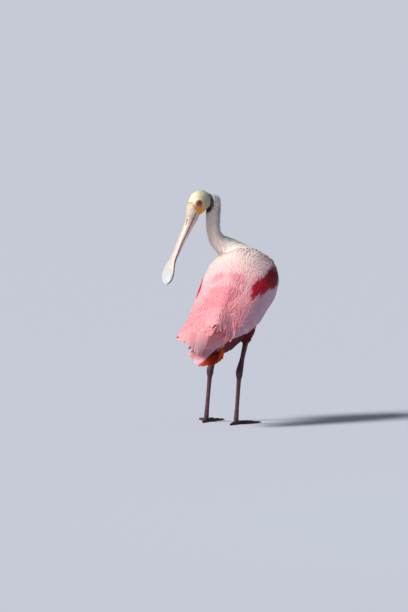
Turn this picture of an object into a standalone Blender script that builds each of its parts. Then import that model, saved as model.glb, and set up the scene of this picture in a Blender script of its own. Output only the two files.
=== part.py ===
"""Roseate spoonbill, adult, life size: a still model that stands with its head turned back.

Lengths in this file are millimetres, turned to metres in one place, new_solid.
+Z is up, the bird heads towards -Y, its left side is +X, and its soles are on z = 0.
Flesh is lofted through rings along a path. Each feather is a thin closed vane that follows
the outer shape of the folded wing or of the tail. Nodes stay a hair's breadth apart.
"""

from math import cos, pi, radians, sin

import bmesh
import bpy
import numpy as np

METRES = 0.001
# Nodes that would touch stay this far apart.
CLEARANCE = 0.35
# Places below are counted from between the feet. The part's origin is below the middle of it all.
TO_ORIGIN = np.array([-20.0, -35.2, 0.0])
UP = np.array([0.0, 0.0, 1.0])
LEFT = np.array([1.0, 0.0, 0.0])
SIDES = {"left": 1.0, "right": -1.0}
# Edges with a sharper bend than this show as edges; the rest looks smooth.
SHARP_ANGLE = radians(40)
# Finishes: colour and roughness.
FINISHES = {
    "pale feather": ("f0c4c2", 0.8),
    "neck down": ("f4eae2", 0.8),
    "hindneck down": ("e8dad0", 0.8),
    "bare head skin": ("dcd6b8", 0.7),
    "red eye": ("a01008", 0.1),
    "bill horn": ("cdb9a6", 0.55),
    "pink feather": ("f2a0a8", 0.75),
    "orange feather": ("d8602c", 0.75),
    "crimson feather": ("8c1428", 0.8),
    "scale": ("55303a", 0.5),
    "foot scale": ("4a2a32", 0.5),
}

# The body's axis runs from the tip of the tail, up and forward to the breast.
BODY_PITCH = radians(36)
TAIL_TIP = np.array([-17.0, 139.0, 139.0])
FORWARD = np.array([0.0, -cos(BODY_PITCH), sin(BODY_PITCH)])
DORSAL = np.array([0.0, sin(BODY_PITCH), cos(BODY_PITCH)])

# Torso sections: along the axis, centre above it, half width, rise, drop.
TORSO = (
    (38, -10, 5, 3, 4),
    (60, -8, 17, 9, 26),
    (100, 0, 34, 26, 55),
    (150, 2, 51, 42, 71),
    (200, 4, 60, 52, 73),
    (245, 6, 63, 54, 74),
    (280, 8, 57, 49, 69),
    (303, 10, 49, 42, 57),
    (319, 12, 30, 27, 34),
    (327, 13, 6, 7, 8),
)
TORSO_RINGS = 20
TORSO_AROUND = 28

# Neck: place and half width, rise and drop of its oval section.
NECK = (
    (-17, -62, 288, 42, 40, 42),
    (-13, -90, 315, 40, 38, 40),
    (-1, -102, 335, 35, 31, 36),
    (16, -98, 351, 27, 25, 27),
    (29, -91, 361, 21, 20.5, 21.5),
    (39.5, -84, 371, 18, 18, 18.5),
    (44.5, -78, 386, 15.5, 15.5, 16),
    (46, -75, 402, 14.8, 14.8, 15.6),
    (46, -73.5, 422, 14.5, 14.8, 15.5),
)
NECK_RINGS = 19
NECK_SPLIT_RING = 9
# The neck runs this far into the skull before the skull is cut from it.
NECK_REACH = 3.0
NECK_AROUND = 20

# Head: the point between the eyes, and which way the face looks, seen from above.
HEAD_CENTRE = np.array([73.7, -45.5, 446.6])
HEAD_TURN = radians(46)
FACING = np.array([cos(HEAD_TURN), sin(HEAD_TURN), 0.0])
HEAD_LEFT = np.array([-sin(HEAD_TURN), cos(HEAD_TURN), 0.0])
# Head sections: ahead of the centre, above it, pitch in degrees, half width, rise, drop.
HEAD = (
    (-41, -6, 80, 14.5, 16.5, 15.5),
    (-37.5, 3, 50, 15, 18.5, 15),
    (-29, 7, 8, 15.5, 14.8, 16),
    (-19, 7, -18, 17.5, 22, 18),
    (-8, 2, -38, 18.8, 23.4, 20),
    (1, -7, -50, 17.5, 19, 18.5),
    (7, -16, -60, 14.5, 14.4, 15.5),
    (9.8, -27, -70, 11.4, 12.2, 13.4),
)
HEAD_RINGS = 17
HEAD_AROUND = 20

# Bill sections: ahead of the head's centre, above it, half width, upper and lower height.
BILL = (
    (9.8, -27, 11, 11.7, 12.6),
    (16, -41, 10.2, 9.0, 9.4),
    (25.8, -60, 9.3, 7.2, 8.0),
    (37.2, -81, 9, 5.6, 6.8),
    (47.2, -102, 9.8, 4.4, 5.4),
    (54.5, -115, 13, 4.2, 4.2),
    (60, -127, 19.5, 3.6, 3.3),
    (64.2, -140, 24.5, 3.2, 2.8),
    (67, -152, 23, 2.8, 2.5),
    (68.6, -159, 16, 2.2, 2.1),
    (69.2, -163, 6, 1.4, 1.2),
)
BILL_RINGS = 21
BILL_ARCH = 8
# How square each half of the bill is across: the powers of its sine and cosine.
ARCH_POWERS = {"upper": (0.8, 1.0), "lower": (0.65, 0.6)}

# Eyes: place ahead, above and aside of the head's centre.
EYE_PLACE = (0.8, 2.4, 12.6)
EYE_RADIUS = 6.8
EYE_AROUND = 16
EYE_STACKS = 8
# The rings at a ball's poles, as a share of the rings next to them.
POLE_SHARE = 0.02
# Lids: a rim round the eye, its half length and half height, distance out and thickness.
LID_LENGTH = 5.7
LID_HEIGHT = 4.8
LID_OUT = 17.0
LID_THICKNESS = 0.95
LID_STEPS = 20
LID_AROUND = 8
# Nostrils: slits on the upper bill, as ahead, above and aside of the head's centre at both ends.
NOSTRIL = ((11.4, -30.5, 4.4), (16.6, -41.0, 4.4))
NOSTRIL_HALF_WIDTH = 0.9
NOSTRIL_DEPTH = 1.6
NOSTRIL_TILT = 22
NOSTRIL_RISE = 0.84
NOSTRIL_REACH = 4.0
NOSTRIL_AROUND = 8
# Share of a nostril's length, and of its width and depth.
NOSTRIL_ROWS = ((0, 0.3), (0.25, 1), (0.75, 1), (1, 0.3))
# The mouth's line across the cheek, as ahead and above of the head's centre, and how deep it is.
GAPE = ((10.6, -28.6), (8.0, -22.4), (5.6, -16.5))
GAPE_INNER = 10.0
GAPE_OUTER = 24.0
GAPE_THICKNESS = 0.8

# Legs: top of the bare shin, heel, foot of the tarsus and the heading of the foot in degrees.
LEGS = {
    "left": {"knee": (6, -62, 236), "shin": (22.6, -41.4, 170), "heel": (32.2, -15.3, 109.5),
             "ankle": (42.8, -21.8, 12), "heading": 4},
    "right": {"knee": (-44, -27, 232), "shin": (-49.9, 5, 165), "heel": (-45.4, 31.0, 109.5),
              "ankle": (-36.2, 24.0, 12), "heading": -6},
}
LEG_AROUND = 12
LEG_RINGS = 18
THIGH_RINGS = 9
# Thigh: share of the way from knee to shin, then half width, rise and drop of its section.
THIGH = ((0, 20, 26, 24), (0.5, 19.5, 22, 20), (0.88, 11, 12, 12), (1, 6.5, 7, 7))
# Shin and tarsus: share of the way from shin to heel, or from heel to ankle, and their sections.
SHIN = ((0, 5.6, 5.6, 5.6), (0.5, 4.8, 4.8, 4.8), (0.83, 6.4, 6.4, 6.4), (1, 7.2, 7.4, 7.4))
TARSUS = ((0.09, 6.7, 6.8, 6.8), (0.22, 4.6, 4.8, 4.8), (0.70, 4.2, 4.4, 4.4), (1, 5.0, 5.4, 5.4))
# The shin starts as wide as this share of the thigh's end.
SHIN_TOP_SHARE = 0.85
# The ankle goes this far down into the foot, and narrows to this share.
ANKLE_DROP = 8.4
ANKLE_SHARE = 0.96
# Toes: heading to the outer side in degrees, length and half width at the base.
TOES = ((-24, 62, 4.2), (2, 78, 4.6), (27, 68, 4.2), (180, 33, 3.8))
# A toe: share of its length, half height, share of its half width. The last three are the claw.
TOE_ROWS = ((-0.04, 4.6, 1.0), (0.12, 4.4, 1.0), (0.36, 3.9, 0.84), (0.62, 3.4, 0.76),
            (0.85, 2.9, 0.66), (0.88, 1.9, 0.36), (0.95, 1.6, 0.26), (1.0, 0.5, 0.06))
TOE_AROUND = 8
# A toe's middle lies this share of its half height over the ground, so that its sole is flat.
SOLE_SHARE = 0.7
# Webs fill the forks of the front toes: reach along a toe and at mid fork, lower and upper face.
WEB_REACH = 24.0
WEB_FORK = 13.0
WEB_HEIGHTS = (1.4, 3.2)

# Folded wings: along the body's axis, outward, above it, half width, rise, drop, the angles in
# degrees from level at which the lower and upper edges run, and the sag of the upper edge.
WINGS = {
    "left": (
        (312, 0, 8, 38, 34, 34, -10, 34, 0),
        (298, 0, 8, 54, 42, 46, -24, 50, 0),
        (262, 0, 6, 69, 58, 64, -30, 78, 0),
        (230, 0, 4, 74, 62, 68, -30, 88.6, 0),
        (190, 0, 4, 74, 62, 64, -28, 89.0, 0),
        (140, 0, 6, 71, 57, 52, -26, 89.2, 0),
        (90, 3, 16, 68, 46, 34, -14, 98, 4),
        (45, 8, 34, 66, 30, 20, 0, 106, 10),
        (10, 14, 56, 54, 16, 12, 18, 112, 18),
        (-14, 18, 69, 49, 9, 6, 28, 118, 29),
        (-45, 20, 77, 44, 6, 4, 34, 120, 36),
    ),
    "right": (
        (312, 0, 8, 45, 32, 34, -18, 34, 0),
        (298, 0, 8, 64, 42, 46, -26, 46, 0),
        (262, 0, 6, 78, 54, 64, -30, 70, 0),
        (230, 0, 4, 80, 62, 68, -30, 88.4, 0),
        (190, 0, 4, 75, 62, 64, -26, 89.0, 0),
        (140, 0, 2, 71, 55, 50, -20, 89.2, 0),
        (90, -2, 2, 60, 44, 34, -6, 91, 0),
        (45, -12, 8, 48, 30, 20, 15, 100, 0),
        (0, -26, 16, 41, 15, 12, 32, 106, 0),
        (-36, -34, 20, 35, 8, 8, 38, 106, 0),
    ),
}
# The wing's flesh: where its sections stand on the axis, and by place on the axis how thick it is
# and which share of the way across it ends.
CORE_ALONG = (312, 300, 280, 255, 225, 190, 155, 128, 109)
CORE_THICKNESS = ((109, 6.5), (130, 11), (190, 24))
CORE_UPPER_EDGE = ((109, 0.88), (150, 0.99))
CORE_LOWER_EDGE = 0.01
CORE_ACROSS = 9
# Depth of the flesh under the wing's outer surface, along the axis.
CORE_SINK = ((312, 0.8), (290, 3.2), (150, 3.6), (116, 4.2), (108, 7.0))
# Feather tiers from the bottom up: number, root and tip along the body's axis for the lowest and
# the uppermost feather, the span across the wing of the roots and of the tips, half width, and
# the heights of roots and tips over the flesh.
TIERS = {
    "left": {
        "primary": (5, (130, 138), (-4, -22), (0.05, 0.34), (0.09, 0.46), 9.0, (-8.2, -7.6)),
        "secondary": (6, (136, 140), (-10, -46), (0.22, 0.80), (0.34, 0.90), 13.0, (-4.2, -3.0)),
        "tertial": (4, (142, 150), (24, 46), (0.62, 0.93), (0.64, 0.92), 14.0, (-0.9, 2.2)),
        "greater_covert": (7, (176, 172), (96, 116), (0.07, 0.94), (0.08, 0.94), 11.5, (-1.8, 4.2)),
        "median_covert": (7, (226, 218), (154, 146), (0.08, 0.93), (0.08, 0.93), 11.0, (-1.8, 3.3)),
        "lesser_covert": (6, (266, 258), (200, 192), (0.10, 0.92), (0.09, 0.92), 12.0, (-1.8, 3.3)),
        "wrist_covert": (5, (300, 292), (242, 234), (0.12, 0.88), (0.10, 0.90), 11.0, (-1.8, 3.3)),
    },
    "right": {
        "primary": (5, (130, 138), (-34, -24), (0.05, 0.34), (0.10, 0.72), 8.5, (-8.2, -7.6)),
        "secondary": (6, (136, 140), (12, -10), (0.22, 0.80), (0.20, 0.90), 12.5, (-4.2, -3.0)),
        "tertial": (4, (142, 150), (34, 52), (0.62, 0.93), (0.60, 0.92), 13.0, (-0.9, 2.2)),
        "greater_covert": (7, (176, 172), (94, 116), (0.07, 0.94), (0.08, 0.94), 11.0, (-1.8, 4.2)),
        "median_covert": (7, (226, 218), (154, 146), (0.08, 0.93), (0.08, 0.93), 11.0, (-1.8, 3.3)),
        "lesser_covert": (6, (266, 258), (200, 192), (0.10, 0.92), (0.09, 0.92), 12.5, (-1.8, 3.3)),
        "wrist_covert": (5, (300, 292), (242, 234), (0.12, 0.88), (0.10, 0.90), 11.5, (-1.8, 3.3)),
    },
}
# A vane: share of its length, of its half width, of its rise from root to tip, and of its tilt.
FLIGHT_ROWS = ((0, 0.4, 0, 0.5), (0.2, 0.8, 0.35, 0.9), (0.55, 1, 0.8, 1), (0.88, 0.85, 1, 1),
               (1, 0.2, 1, 0.8))
COVERT_ROWS = ((0, 0.45, 0, 0), (0.36, 0.85, 0.34, 0.7), (0.8, 0.9, 0.95, 1), (1, 0.22, 1, 0.8))
VANE_THICKNESS = 0.7
VANE_EDGE = 0.5
# Each vane stands this much higher than the next one under it, where they lap.
LAP = 1.2
# How unevenly the tips of a tier lie, and the turn of that wave from one feather to the next.
UNEVEN_REACH = 1.5
UNEVEN_TURN = 2.4
# A vane stops at this share of its way to the surface's edge, but keeps this share of its width.
EDGE_REACH = 0.95
EDGE_LEAST = 0.04
# Which way is outward on wings and tail: up the back, and this much to the side.
OUTWARD_LEAN = 0.6

# Tail: along the axis, above it, half width of the fan, how far its sides hang, and its shift
# to the left.
TAIL = (
    (76, -7, 10, 1, 0),
    (50, -9, 16, 2, 0.5),
    (20, -11, 21.5, 3, 2.5),
    (-6, -12, 25, 5, 5.5),
)
TAIL_FEATHERS = 12
# The flesh at the tail's root: along the axis, half width, half thickness; and how far below it.
TAIL_ROOT = ((84, 8, 4), (66, 11, 5), (48, 13, 3))
TAIL_ROOT_DROP = 9
TAIL_ROOT_AROUND = 12
# Tail feathers: where they root, the edge of the fan, half width, and how the outer ones shorten.
TAIL_VANE_ROOT = 62
TAIL_VANE_MARGIN = 0.06
TAIL_VANE_HALF_WIDTH = 5.6
TAIL_VANE_TIP = (-3, 6)


def smooth(rows, count):
    """Rows read at even steps from a smooth cubic curve through the given rows."""
    rows = np.asarray(rows, float)
    return smooth_at(rows, np.linspace(0, len(rows) - 1, count))


def smooth_at(rows, places):
    """The same curve at any places, counted in rows from 0."""
    rows = np.asarray(rows, float)
    padded = np.vstack([2 * rows[0] - rows[1], rows, 2 * rows[-1] - rows[-2]])
    places = np.clip(places, 0, len(rows) - 1)
    first = np.minimum(places.astype(int), len(rows) - 2)
    share = (places - first)[:, None]
    a, b, c, d = (padded[first + k] for k in range(4))
    return 0.5 * (
        2 * b
        + (c - a) * share
        + (2 * a - 5 * b + 4 * c - d) * share**2
        + (3 * b - 3 * c + d - a) * share**3
    )


def ring(centre, side, up, half_width, rise, drop, points):
    """An oval round centre, whose upper and lower halves have their own heights."""
    angle = np.linspace(0, 2 * pi, points, endpoint=False)
    height = np.where(np.sin(angle) > 0, rise, drop) * np.sin(angle)
    return centre + (half_width * np.cos(angle))[:, None] * side + height[:, None] * up


def new_solid(name, points, faces):
    """An object of this name from points in millimetres, in flat triangles that face out."""
    mesh = bpy.data.meshes.new(name)
    scaled = (np.asarray(points, float) + TO_ORIGIN) * METRES
    mesh.from_pydata(scaled.tolist(), [], [tuple(int(i) for i in face) for face in faces])
    mesh.update()
    made = bpy.data.objects.new(name, mesh)
    bpy.context.scene.collection.objects.link(made)
    work = bmesh.new()
    work.from_mesh(mesh)
    bmesh.ops.triangulate(work, faces=work.faces[:])
    bmesh.ops.recalc_face_normals(work, faces=work.faces)
    work.to_mesh(mesh)
    work.free()
    return made


def tube(name, rings):
    """A closed solid through rings of equal point count, with a fan over each end."""
    rings = np.asarray(rings)
    count, around = rings.shape[:2]
    points = list(rings.reshape(-1, 3))
    faces = []
    for row in range(count - 1):
        near, far = row * around, (row + 1) * around
        for k in range(around):
            after = (k + 1) % around
            faces.append((near + k, near + after, far + after, far + k))
    for row in (0, count - 1):
        points.append(rings[row].mean(axis=0))
        for k in range(around):
            faces.append((len(points) - 1, row * around + k, row * around + (k + 1) % around))
    return new_solid(name, points, faces)


def path_rings(rows, side_hint, points):
    """Rings square to a path whose rows hold place, half width, rise and drop."""
    places = rows[:, :3]
    along = np.gradient(places, axis=0)
    rings = []
    for place, direction, (half_width, rise, drop) in zip(places, along, rows[:, 3:6]):
        direction = direction / np.linalg.norm(direction)
        side = side_hint - direction * np.dot(side_hint, direction)
        side /= np.linalg.norm(side)
        rings.append(ring(place, side, np.cross(direction, side), half_width, rise, drop, points))
    return rings


def keep_largest(made):
    """Keeps only the largest closed surface of a mesh."""
    work = bmesh.new()
    work.from_mesh(made.data)
    unseen = set(work.verts)
    shells = []
    while unseen:
        shell, front = set(), [next(iter(unseen))]
        while front:
            vertex = front.pop()
            if vertex in shell:
                continue
            shell.add(vertex)
            front.extend(edge.other_vert(vertex) for edge in vertex.link_edges)
        unseen -= shell
        shells.append(shell)
    largest = max(shells, key=span)
    scraps = [vertex for vertex in work.verts if vertex not in largest]
    bmesh.ops.delete(work, geom=scraps, context="VERTS")
    work.to_mesh(made.data)
    work.free()


def span(vertices):
    """The diagonal of the box round some vertices."""
    places = np.array([vertex.co[:] for vertex in vertices])
    return float(np.linalg.norm(places.max(axis=0) - places.min(axis=0)))


def fuse(name, pieces, cutters=(), solver="MANIFOLD"):
    """One closed solid: the union of the pieces, less the cutters."""
    base = pieces[0]
    base.name = name
    for operation, members in (("UNION", pieces[1:]), ("DIFFERENCE", list(cutters))):
        if not members:
            continue
        group = bpy.data.collections.new(operation)
        for member in members:
            group.objects.link(member)
        joining = base.modifiers.new(operation, "BOOLEAN")
        joining.operation = operation
        joining.operand_type = "COLLECTION"
        joining.collection = group
        joining.solver = solver
        bpy.context.view_layer.update()
        shaped = base.evaluated_get(bpy.context.evaluated_depsgraph_get())
        mesh = bpy.data.meshes.new_from_object(shaped)
        base.modifiers.clear()
        base.data = mesh
        mesh.name = name
        bpy.data.collections.remove(group)
        for member in members:
            bpy.data.objects.remove(member)
    keep_largest(base)
    return base


def finish(made, kind):
    """Gives a node its material and smooth shading."""
    colour, roughness = FINISHES[kind]
    material = bpy.data.materials.get(kind) or bpy.data.materials.new(kind)
    channels = [int(colour[k:k + 2], 16) / 255 for k in (0, 2, 4)]
    linear = [c / 12.92 if c <= 0.04045 else ((c + 0.055) / 1.055) ** 2.4 for c in channels]
    material.use_nodes = True
    shader = material.node_tree.nodes["Principled BSDF"]
    shader.inputs["Base Color"].default_value = (*linear, 1.0)
    shader.inputs["Roughness"].default_value = roughness
    made.data.materials.clear()
    made.data.materials.append(material)
    made.data.shade_smooth()
    made.data.set_sharp_from_angle(angle=SHARP_ANGLE)
    return made


def torso_rings(extra):
    """The torso's rings, pushed out by extra."""
    rings = []
    for along, above, half_width, rise, drop in smooth(TORSO, TORSO_RINGS):
        centre = TAIL_TIP + along * FORWARD + above * DORSAL
        rings.append(ring(centre, LEFT, DORSAL, half_width + extra, rise + extra,
                          drop + extra, TORSO_AROUND))
    rings[0] = rings[0] - extra * FORWARD
    rings[-1] = rings[-1] + extra * FORWARD
    return rings


def torso_cutter():
    """The torso a hair's breadth larger, to keep other nodes off it."""
    return tube("torso_cutter", torso_rings(CLEARANCE))


def make_torso():
    """The body under the wings, from the breast to the root of the tail."""
    finish(tube("torso", torso_rings(0)), "pale feather")


def step_on(rings, start):
    """The unit step from ring start to the next one."""
    step = rings[start + 1].mean(axis=0) - rings[start].mean(axis=0)
    return step / np.linalg.norm(step)


def neck_rings(extra):
    """The neck's rings from inside the breast to below the head, pushed out by extra."""
    rows = smooth(NECK, NECK_RINGS)
    rows[:, 3:] += extra
    return path_rings(rows, HEAD_LEFT, NECK_AROUND)


def make_neck():
    """The neck in two lengths: the lower grows from the torso, the upper ends at the head."""
    rings = neck_rings(0)
    lower = rings[:NECK_SPLIT_RING + 1]
    upper = rings[NECK_SPLIT_RING:]
    upper[0] = upper[0] + step_on(upper, 0) * CLEARANCE
    skull = head_rings(0)
    upper.append(skull[0] + step_on(skull, 0) * NECK_REACH)
    hollow = head_rings(CLEARANCE)
    hollow[0] = hollow[0] - step_on(skull, 0) * CLEARANCE
    finish(fuse("neck_lower", [tube("neck_lower", lower)], [torso_cutter()]), "neck down")
    finish(fuse("neck_upper", [tube("neck_upper", upper)], [tube("head_cutter", hollow)]),
           "hindneck down")


def head_place(ahead, above, left=0.0):
    """A place told from the point between the eyes."""
    return HEAD_CENTRE + ahead * FACING + above * UP + left * HEAD_LEFT


def head_rings(extra):
    """The skull's rings, from the nape over the crown and down the face, pushed out by extra."""
    rings = []
    for ahead, above, pitch, half_width, rise, drop in smooth(HEAD, HEAD_RINGS):
        tilt = radians(pitch)
        up = -sin(tilt) * FACING + cos(tilt) * UP
        rings.append(ring(head_place(ahead, above), HEAD_LEFT, up, half_width + extra,
                          rise + extra, drop + extra, HEAD_AROUND))
    return rings


def bill_frames():
    """Centre, dorsal direction and section sizes along the bill."""
    rows = smooth(BILL, BILL_RINGS)
    slope = np.gradient(rows[:, :2], axis=0)
    slope[0] = cos(radians(HEAD[-1][2])), sin(radians(HEAD[-1][2]))
    slope /= np.linalg.norm(slope, axis=1)[:, None]
    for (ahead, above, half_width, upper, lower), (forth, rise) in zip(rows, slope):
        dorsal = -rise * FACING + forth * UP
        yield head_place(ahead, above), dorsal, half_width, upper, lower


def half_bill(name, dorsal_sign):
    """One mandible: an arch over a flat gape face, lofted along the bill."""
    rise_power, level_power = ARCH_POWERS["upper" if dorsal_sign > 0 else "lower"]
    rings = []
    for centre, dorsal, half_width, upper, lower in bill_frames():
        height = upper if dorsal_sign > 0 else lower
        angle = np.linspace(0, pi, BILL_ARCH + 1)
        across = half_width * np.sign(np.cos(angle)) * np.abs(np.cos(angle)) ** level_power
        lift = (height * np.sin(angle) ** rise_power + CLEARANCE / 2) * dorsal_sign
        rings.append(centre + across[:, None] * HEAD_LEFT + lift[:, None] * dorsal)
    tilt = radians(HEAD[-1][2])
    rings[0] = rings[0] + (cos(tilt) * FACING + sin(tilt) * UP) * CLEARANCE
    return tube(name, rings)


def ball(name, centre, radius, around, stacks):
    """A closed ball from rings of latitude."""
    rings = []
    for angle in np.linspace(0, pi, stacks + 1)[1:-1]:
        flat = radius * sin(angle)
        rings.append(ring(centre + radius * cos(angle) * UP, LEFT, np.array([0.0, 1.0, 0.0]),
                          flat, flat, flat, around))
    poles = []
    for near, pole in ((rings[0], centre + radius * UP), (rings[-1], centre - radius * UP)):
        poles.append(pole + POLE_SHARE * (near - pole))
    rings = [poles[0]] + rings + [poles[1]]
    return tube(name, rings)


def hoop(name, rings):
    """A closed solid through rings that lead back to the first."""
    rings = np.asarray(rings)
    count, around = rings.shape[:2]
    faces = []
    for row in range(count):
        near, far = row * around, (row + 1) % count * around
        for k in range(around):
            after = (k + 1) % around
            faces.append((near + k, near + after, far + after, far + k))
    return new_solid(name, rings.reshape(-1, 3), faces)


def lids(sign):
    """The rim of both lids round one eye, longer than high."""
    rings = []
    for angle in np.linspace(0, 2 * pi, LID_STEPS, endpoint=False):
        ahead = EYE_PLACE[0] + LID_LENGTH * cos(angle)
        above = EYE_PLACE[1] + LID_HEIGHT * sin(angle)
        outward = (cos(angle) * FACING + sin(angle) * UP)
        rings.append(ring(head_place(ahead, above, sign * LID_OUT), outward, sign * HEAD_LEFT,
                          LID_THICKNESS, LID_THICKNESS, LID_THICKNESS, LID_AROUND))
    return hoop("lids", rings)


def gape(sign):
    """A thin slot for the mouth's line on one cheek."""
    line = np.array(GAPE)
    along = (line[-1] - line[0]) / np.linalg.norm(line[-1] - line[0])
    across = np.array([along[1], -along[0]]) * GAPE_THICKNESS / 2
    rings = []
    for place in line:
        corners = []
        for aside, step in ((GAPE_INNER, -1), (GAPE_OUTER, -1), (GAPE_OUTER, 1), (GAPE_INNER, 1)):
            corners.append(head_place(*(place + step * across), sign * aside))
        rings.append(corners)
    return tube("gape", rings)


def nostril(sign):
    """A slit in the upper bill, as a long spindle half sunk in it."""
    ends = np.array(NOSTRIL, float)
    bill = smooth(BILL, BILL_RINGS)
    outward = cos(radians(NOSTRIL_TILT)) * FACING + sin(radians(NOSTRIL_TILT)) * UP
    rings = []
    for share, width in NOSTRIL_ROWS:
        ahead, above, aside = ends[0] + (ends[1] - ends[0]) * share
        top = np.interp(-above, -bill[:, 1], bill[:, 3])
        centre = head_place(ahead, above, sign * aside) + NOSTRIL_RISE * top * outward
        rings.append(ring(centre, HEAD_LEFT, outward, NOSTRIL_HALF_WIDTH * width,
                          NOSTRIL_REACH, NOSTRIL_DEPTH * width, NOSTRIL_AROUND))
    return tube("nostril", rings)


def make_head():
    """The skull with its sockets and lids, the eyes, and the two halves of the bill."""
    skull = tube("skull", head_rings(0))
    cutters, eyes, rims = [], [], []
    for side, sign in SIDES.items():
        centre = head_place(EYE_PLACE[0], EYE_PLACE[1], sign * EYE_PLACE[2])
        cutters.append(ball("socket", centre, EYE_RADIUS + CLEARANCE, EYE_AROUND, EYE_STACKS))
        cutters.append(gape(sign))
        rims.append(lids(sign))
        eyes.append(ball("eye_" + side, centre, EYE_RADIUS, EYE_AROUND, EYE_STACKS))
    finish(fuse("head", [skull] + rims, cutters), "bare head skin")
    for eye in eyes:
        finish(eye, "red eye")
    slits = [nostril(sign) for sign in SIDES.values()]
    finish(fuse("bill_upper", [half_bill("bill_upper", 1)], slits), "bill horn")
    finish(half_bill("bill_lower", -1), "bill horn")


def wing_place(side, along, across):
    """The folded wing's outer surface: across runs 0 to 1 from its lower to its upper edge."""
    table = np.asarray(WINGS[side], float)[::-1]
    along, across = np.broadcast_arrays(np.asarray(along, float), across)
    read = [np.interp(along, table[:, 0], table[:, k]) for k in range(1, 9)]
    out, above, half_width, rise, drop, low, high, sag = read
    angle = np.radians(low + (high - low) * across)
    height = np.where(np.sin(angle) > 0, rise, drop) * np.sin(angle) - sag * across**2
    sideways = SIDES[side] * (out + half_width * np.cos(angle))
    return (TAIL_TIP + along[..., None] * FORWARD + sideways[..., None] * LEFT
            + (above + height)[..., None] * DORSAL)


def tail_place(side, along, across):
    """The tail's upper surface: across runs 0 to 1 over the fan from right to left."""
    table = np.asarray(TAIL, float)[::-1]
    along, across = np.broadcast_arrays(np.asarray(along, float), across)
    read = [np.interp(along, table[:, 0], table[:, k]) for k in range(1, 5)]
    above, half_width, hang, shift = read
    share = 2 * across - 1
    return (TAIL_TIP + along[..., None] * FORWARD + (share * half_width + shift)[..., None] * LEFT
            + (above - hang * share**2)[..., None] * DORSAL)


def surface_frame(place, side, along, across):
    """A point of a surface, its outward normal, and millimetres for each unit across."""
    here = place(side, along, across)
    onward = place(side, along + 1, across) - place(side, along - 1, across)
    step = 0.01
    over = (place(side, along, across + step) - place(side, along, across - step)) / (2 * step)
    normal = np.cross(onward, over)
    normal /= np.linalg.norm(normal, axis=-1, keepdims=True)
    outward = DORSAL + OUTWARD_LEAN * SIDES[side] * LEFT
    normal *= np.where(normal @ outward < 0, -1, 1)[..., None]
    return here, normal, np.linalg.norm(over, axis=-1)


def vane(place, side, root, tip, half_width, pitches, heights, rows):
    """One feather on a surface, from root to tip, each as (along, across).

    pitches are the distances to its neighbours and heights its own heights, at root and tip.
    It is tilted by one lap for each pitch, as feathers lap like shingles, and narrower where it
    nears an edge. The cut across it has three points above and three below, split alike.
    """
    rings = []
    for share, width, rising, tilting in rows:
        along = root[0] + (tip[0] - root[0]) * share
        across = root[1] + (tip[1] - root[1]) * share
        scale = surface_frame(place, side, along, across)[2]
        pitch = (pitches[0] + (pitches[1] - pitches[0]) * share) * scale
        half = half_width * width / scale
        below = min(half, EDGE_REACH * across + EDGE_LEAST * half)
        beyond = min(half, EDGE_REACH * (1 - across) + EDGE_LEAST * half)
        spots = across + np.array([-below, 0, beyond])
        here, normal, _ = surface_frame(place, side, np.full(3, along), spots)
        height = heights[0] + (heights[1] - heights[0]) * rising
        height = height + (across - spots) * scale * LAP / pitch * tilting
        thick = np.array([VANE_EDGE, VANE_THICKNESS, VANE_EDGE]) / 2
        upper = here + (height + thick)[:, None] * normal
        lower = here + (height - thick)[:, None] * normal
        rings.append(np.vstack([upper, lower[::-1]]))
    return strip("vane", rings)


def strip(name, rings):
    """A closed vane through rings of six points, with both faces split along like diagonals."""
    rings = np.asarray(rings)
    count = len(rings)
    faces = []
    for row in range(count - 1):
        near, far = row * 6, (row + 1) * 6
        for k in range(6):
            after = (k + 1) % 6
            if k < 3:
                faces += [(near + k, near + after, far + after), (near + k, far + after, far + k)]
            else:
                faces += [(near + k, near + after, far + k), (near + after, far + after, far + k)]
    for first in (0, (count - 1) * 6):
        faces += [(first, first + 1, first + 4), (first, first + 4, first + 5),
                  (first + 1, first + 2, first + 3), (first + 1, first + 3, first + 4)]
    return new_solid(name, rings.reshape(-1, 3), faces)


def core_sink(along):
    """How deep the wing's flesh lies under its outer surface."""
    return np.interp(along, *zip(*CORE_SINK[::-1]))


def wing_core(side):
    """The wing's arm and hand under the feathers, as a curved blade over the torso's side."""
    rings = []
    for along in CORE_ALONG:
        thick = np.interp(along, *zip(*CORE_THICKNESS))
        shares = np.linspace(CORE_LOWER_EDGE, np.interp(along, *zip(*CORE_UPPER_EDGE)), CORE_ACROSS)
        places = np.full(CORE_ACROSS, float(along))
        outer, normal, _ = surface_frame(wing_place, side, places, shares)
        outer = outer - core_sink(along) * normal
        inward = TAIL_TIP + along * FORWARD - outer
        inward -= np.outer(inward @ FORWARD, FORWARD)
        inward /= np.linalg.norm(inward, axis=1)[:, None]
        rings.append(np.vstack([outer, (outer + inward * thick)[::-1]]))
    return tube("wing_core", rings)


def tier(side, count, roots, tips, root_span, tip_span, half_width, rises, rows):
    """One tier of feathers, laid from the wing's lower edge to its upper one."""
    laid = []
    steps = count - 1
    pitches = ((root_span[1] - root_span[0]) / steps, (tip_span[1] - tip_span[0]) / steps)
    for k in range(count):
        share = k / steps
        uneven = UNEVEN_REACH * sin(UNEVEN_TURN * k + rises[1])
        root = (roots[0] + (roots[1] - roots[0]) * share, root_span[0] + pitches[0] * k)
        tip = (tips[0] + (tips[1] - tips[0]) * share + uneven, tip_span[0] + pitches[1] * k)
        over = max(tip[0], CORE_SINK[-2][0])
        heights = (rises[0] - core_sink(root[0]), rises[1] - core_sink(over))
        laid.append(vane(wing_place, side, root, tip, half_width, pitches, heights, rows))
    return laid


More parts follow.
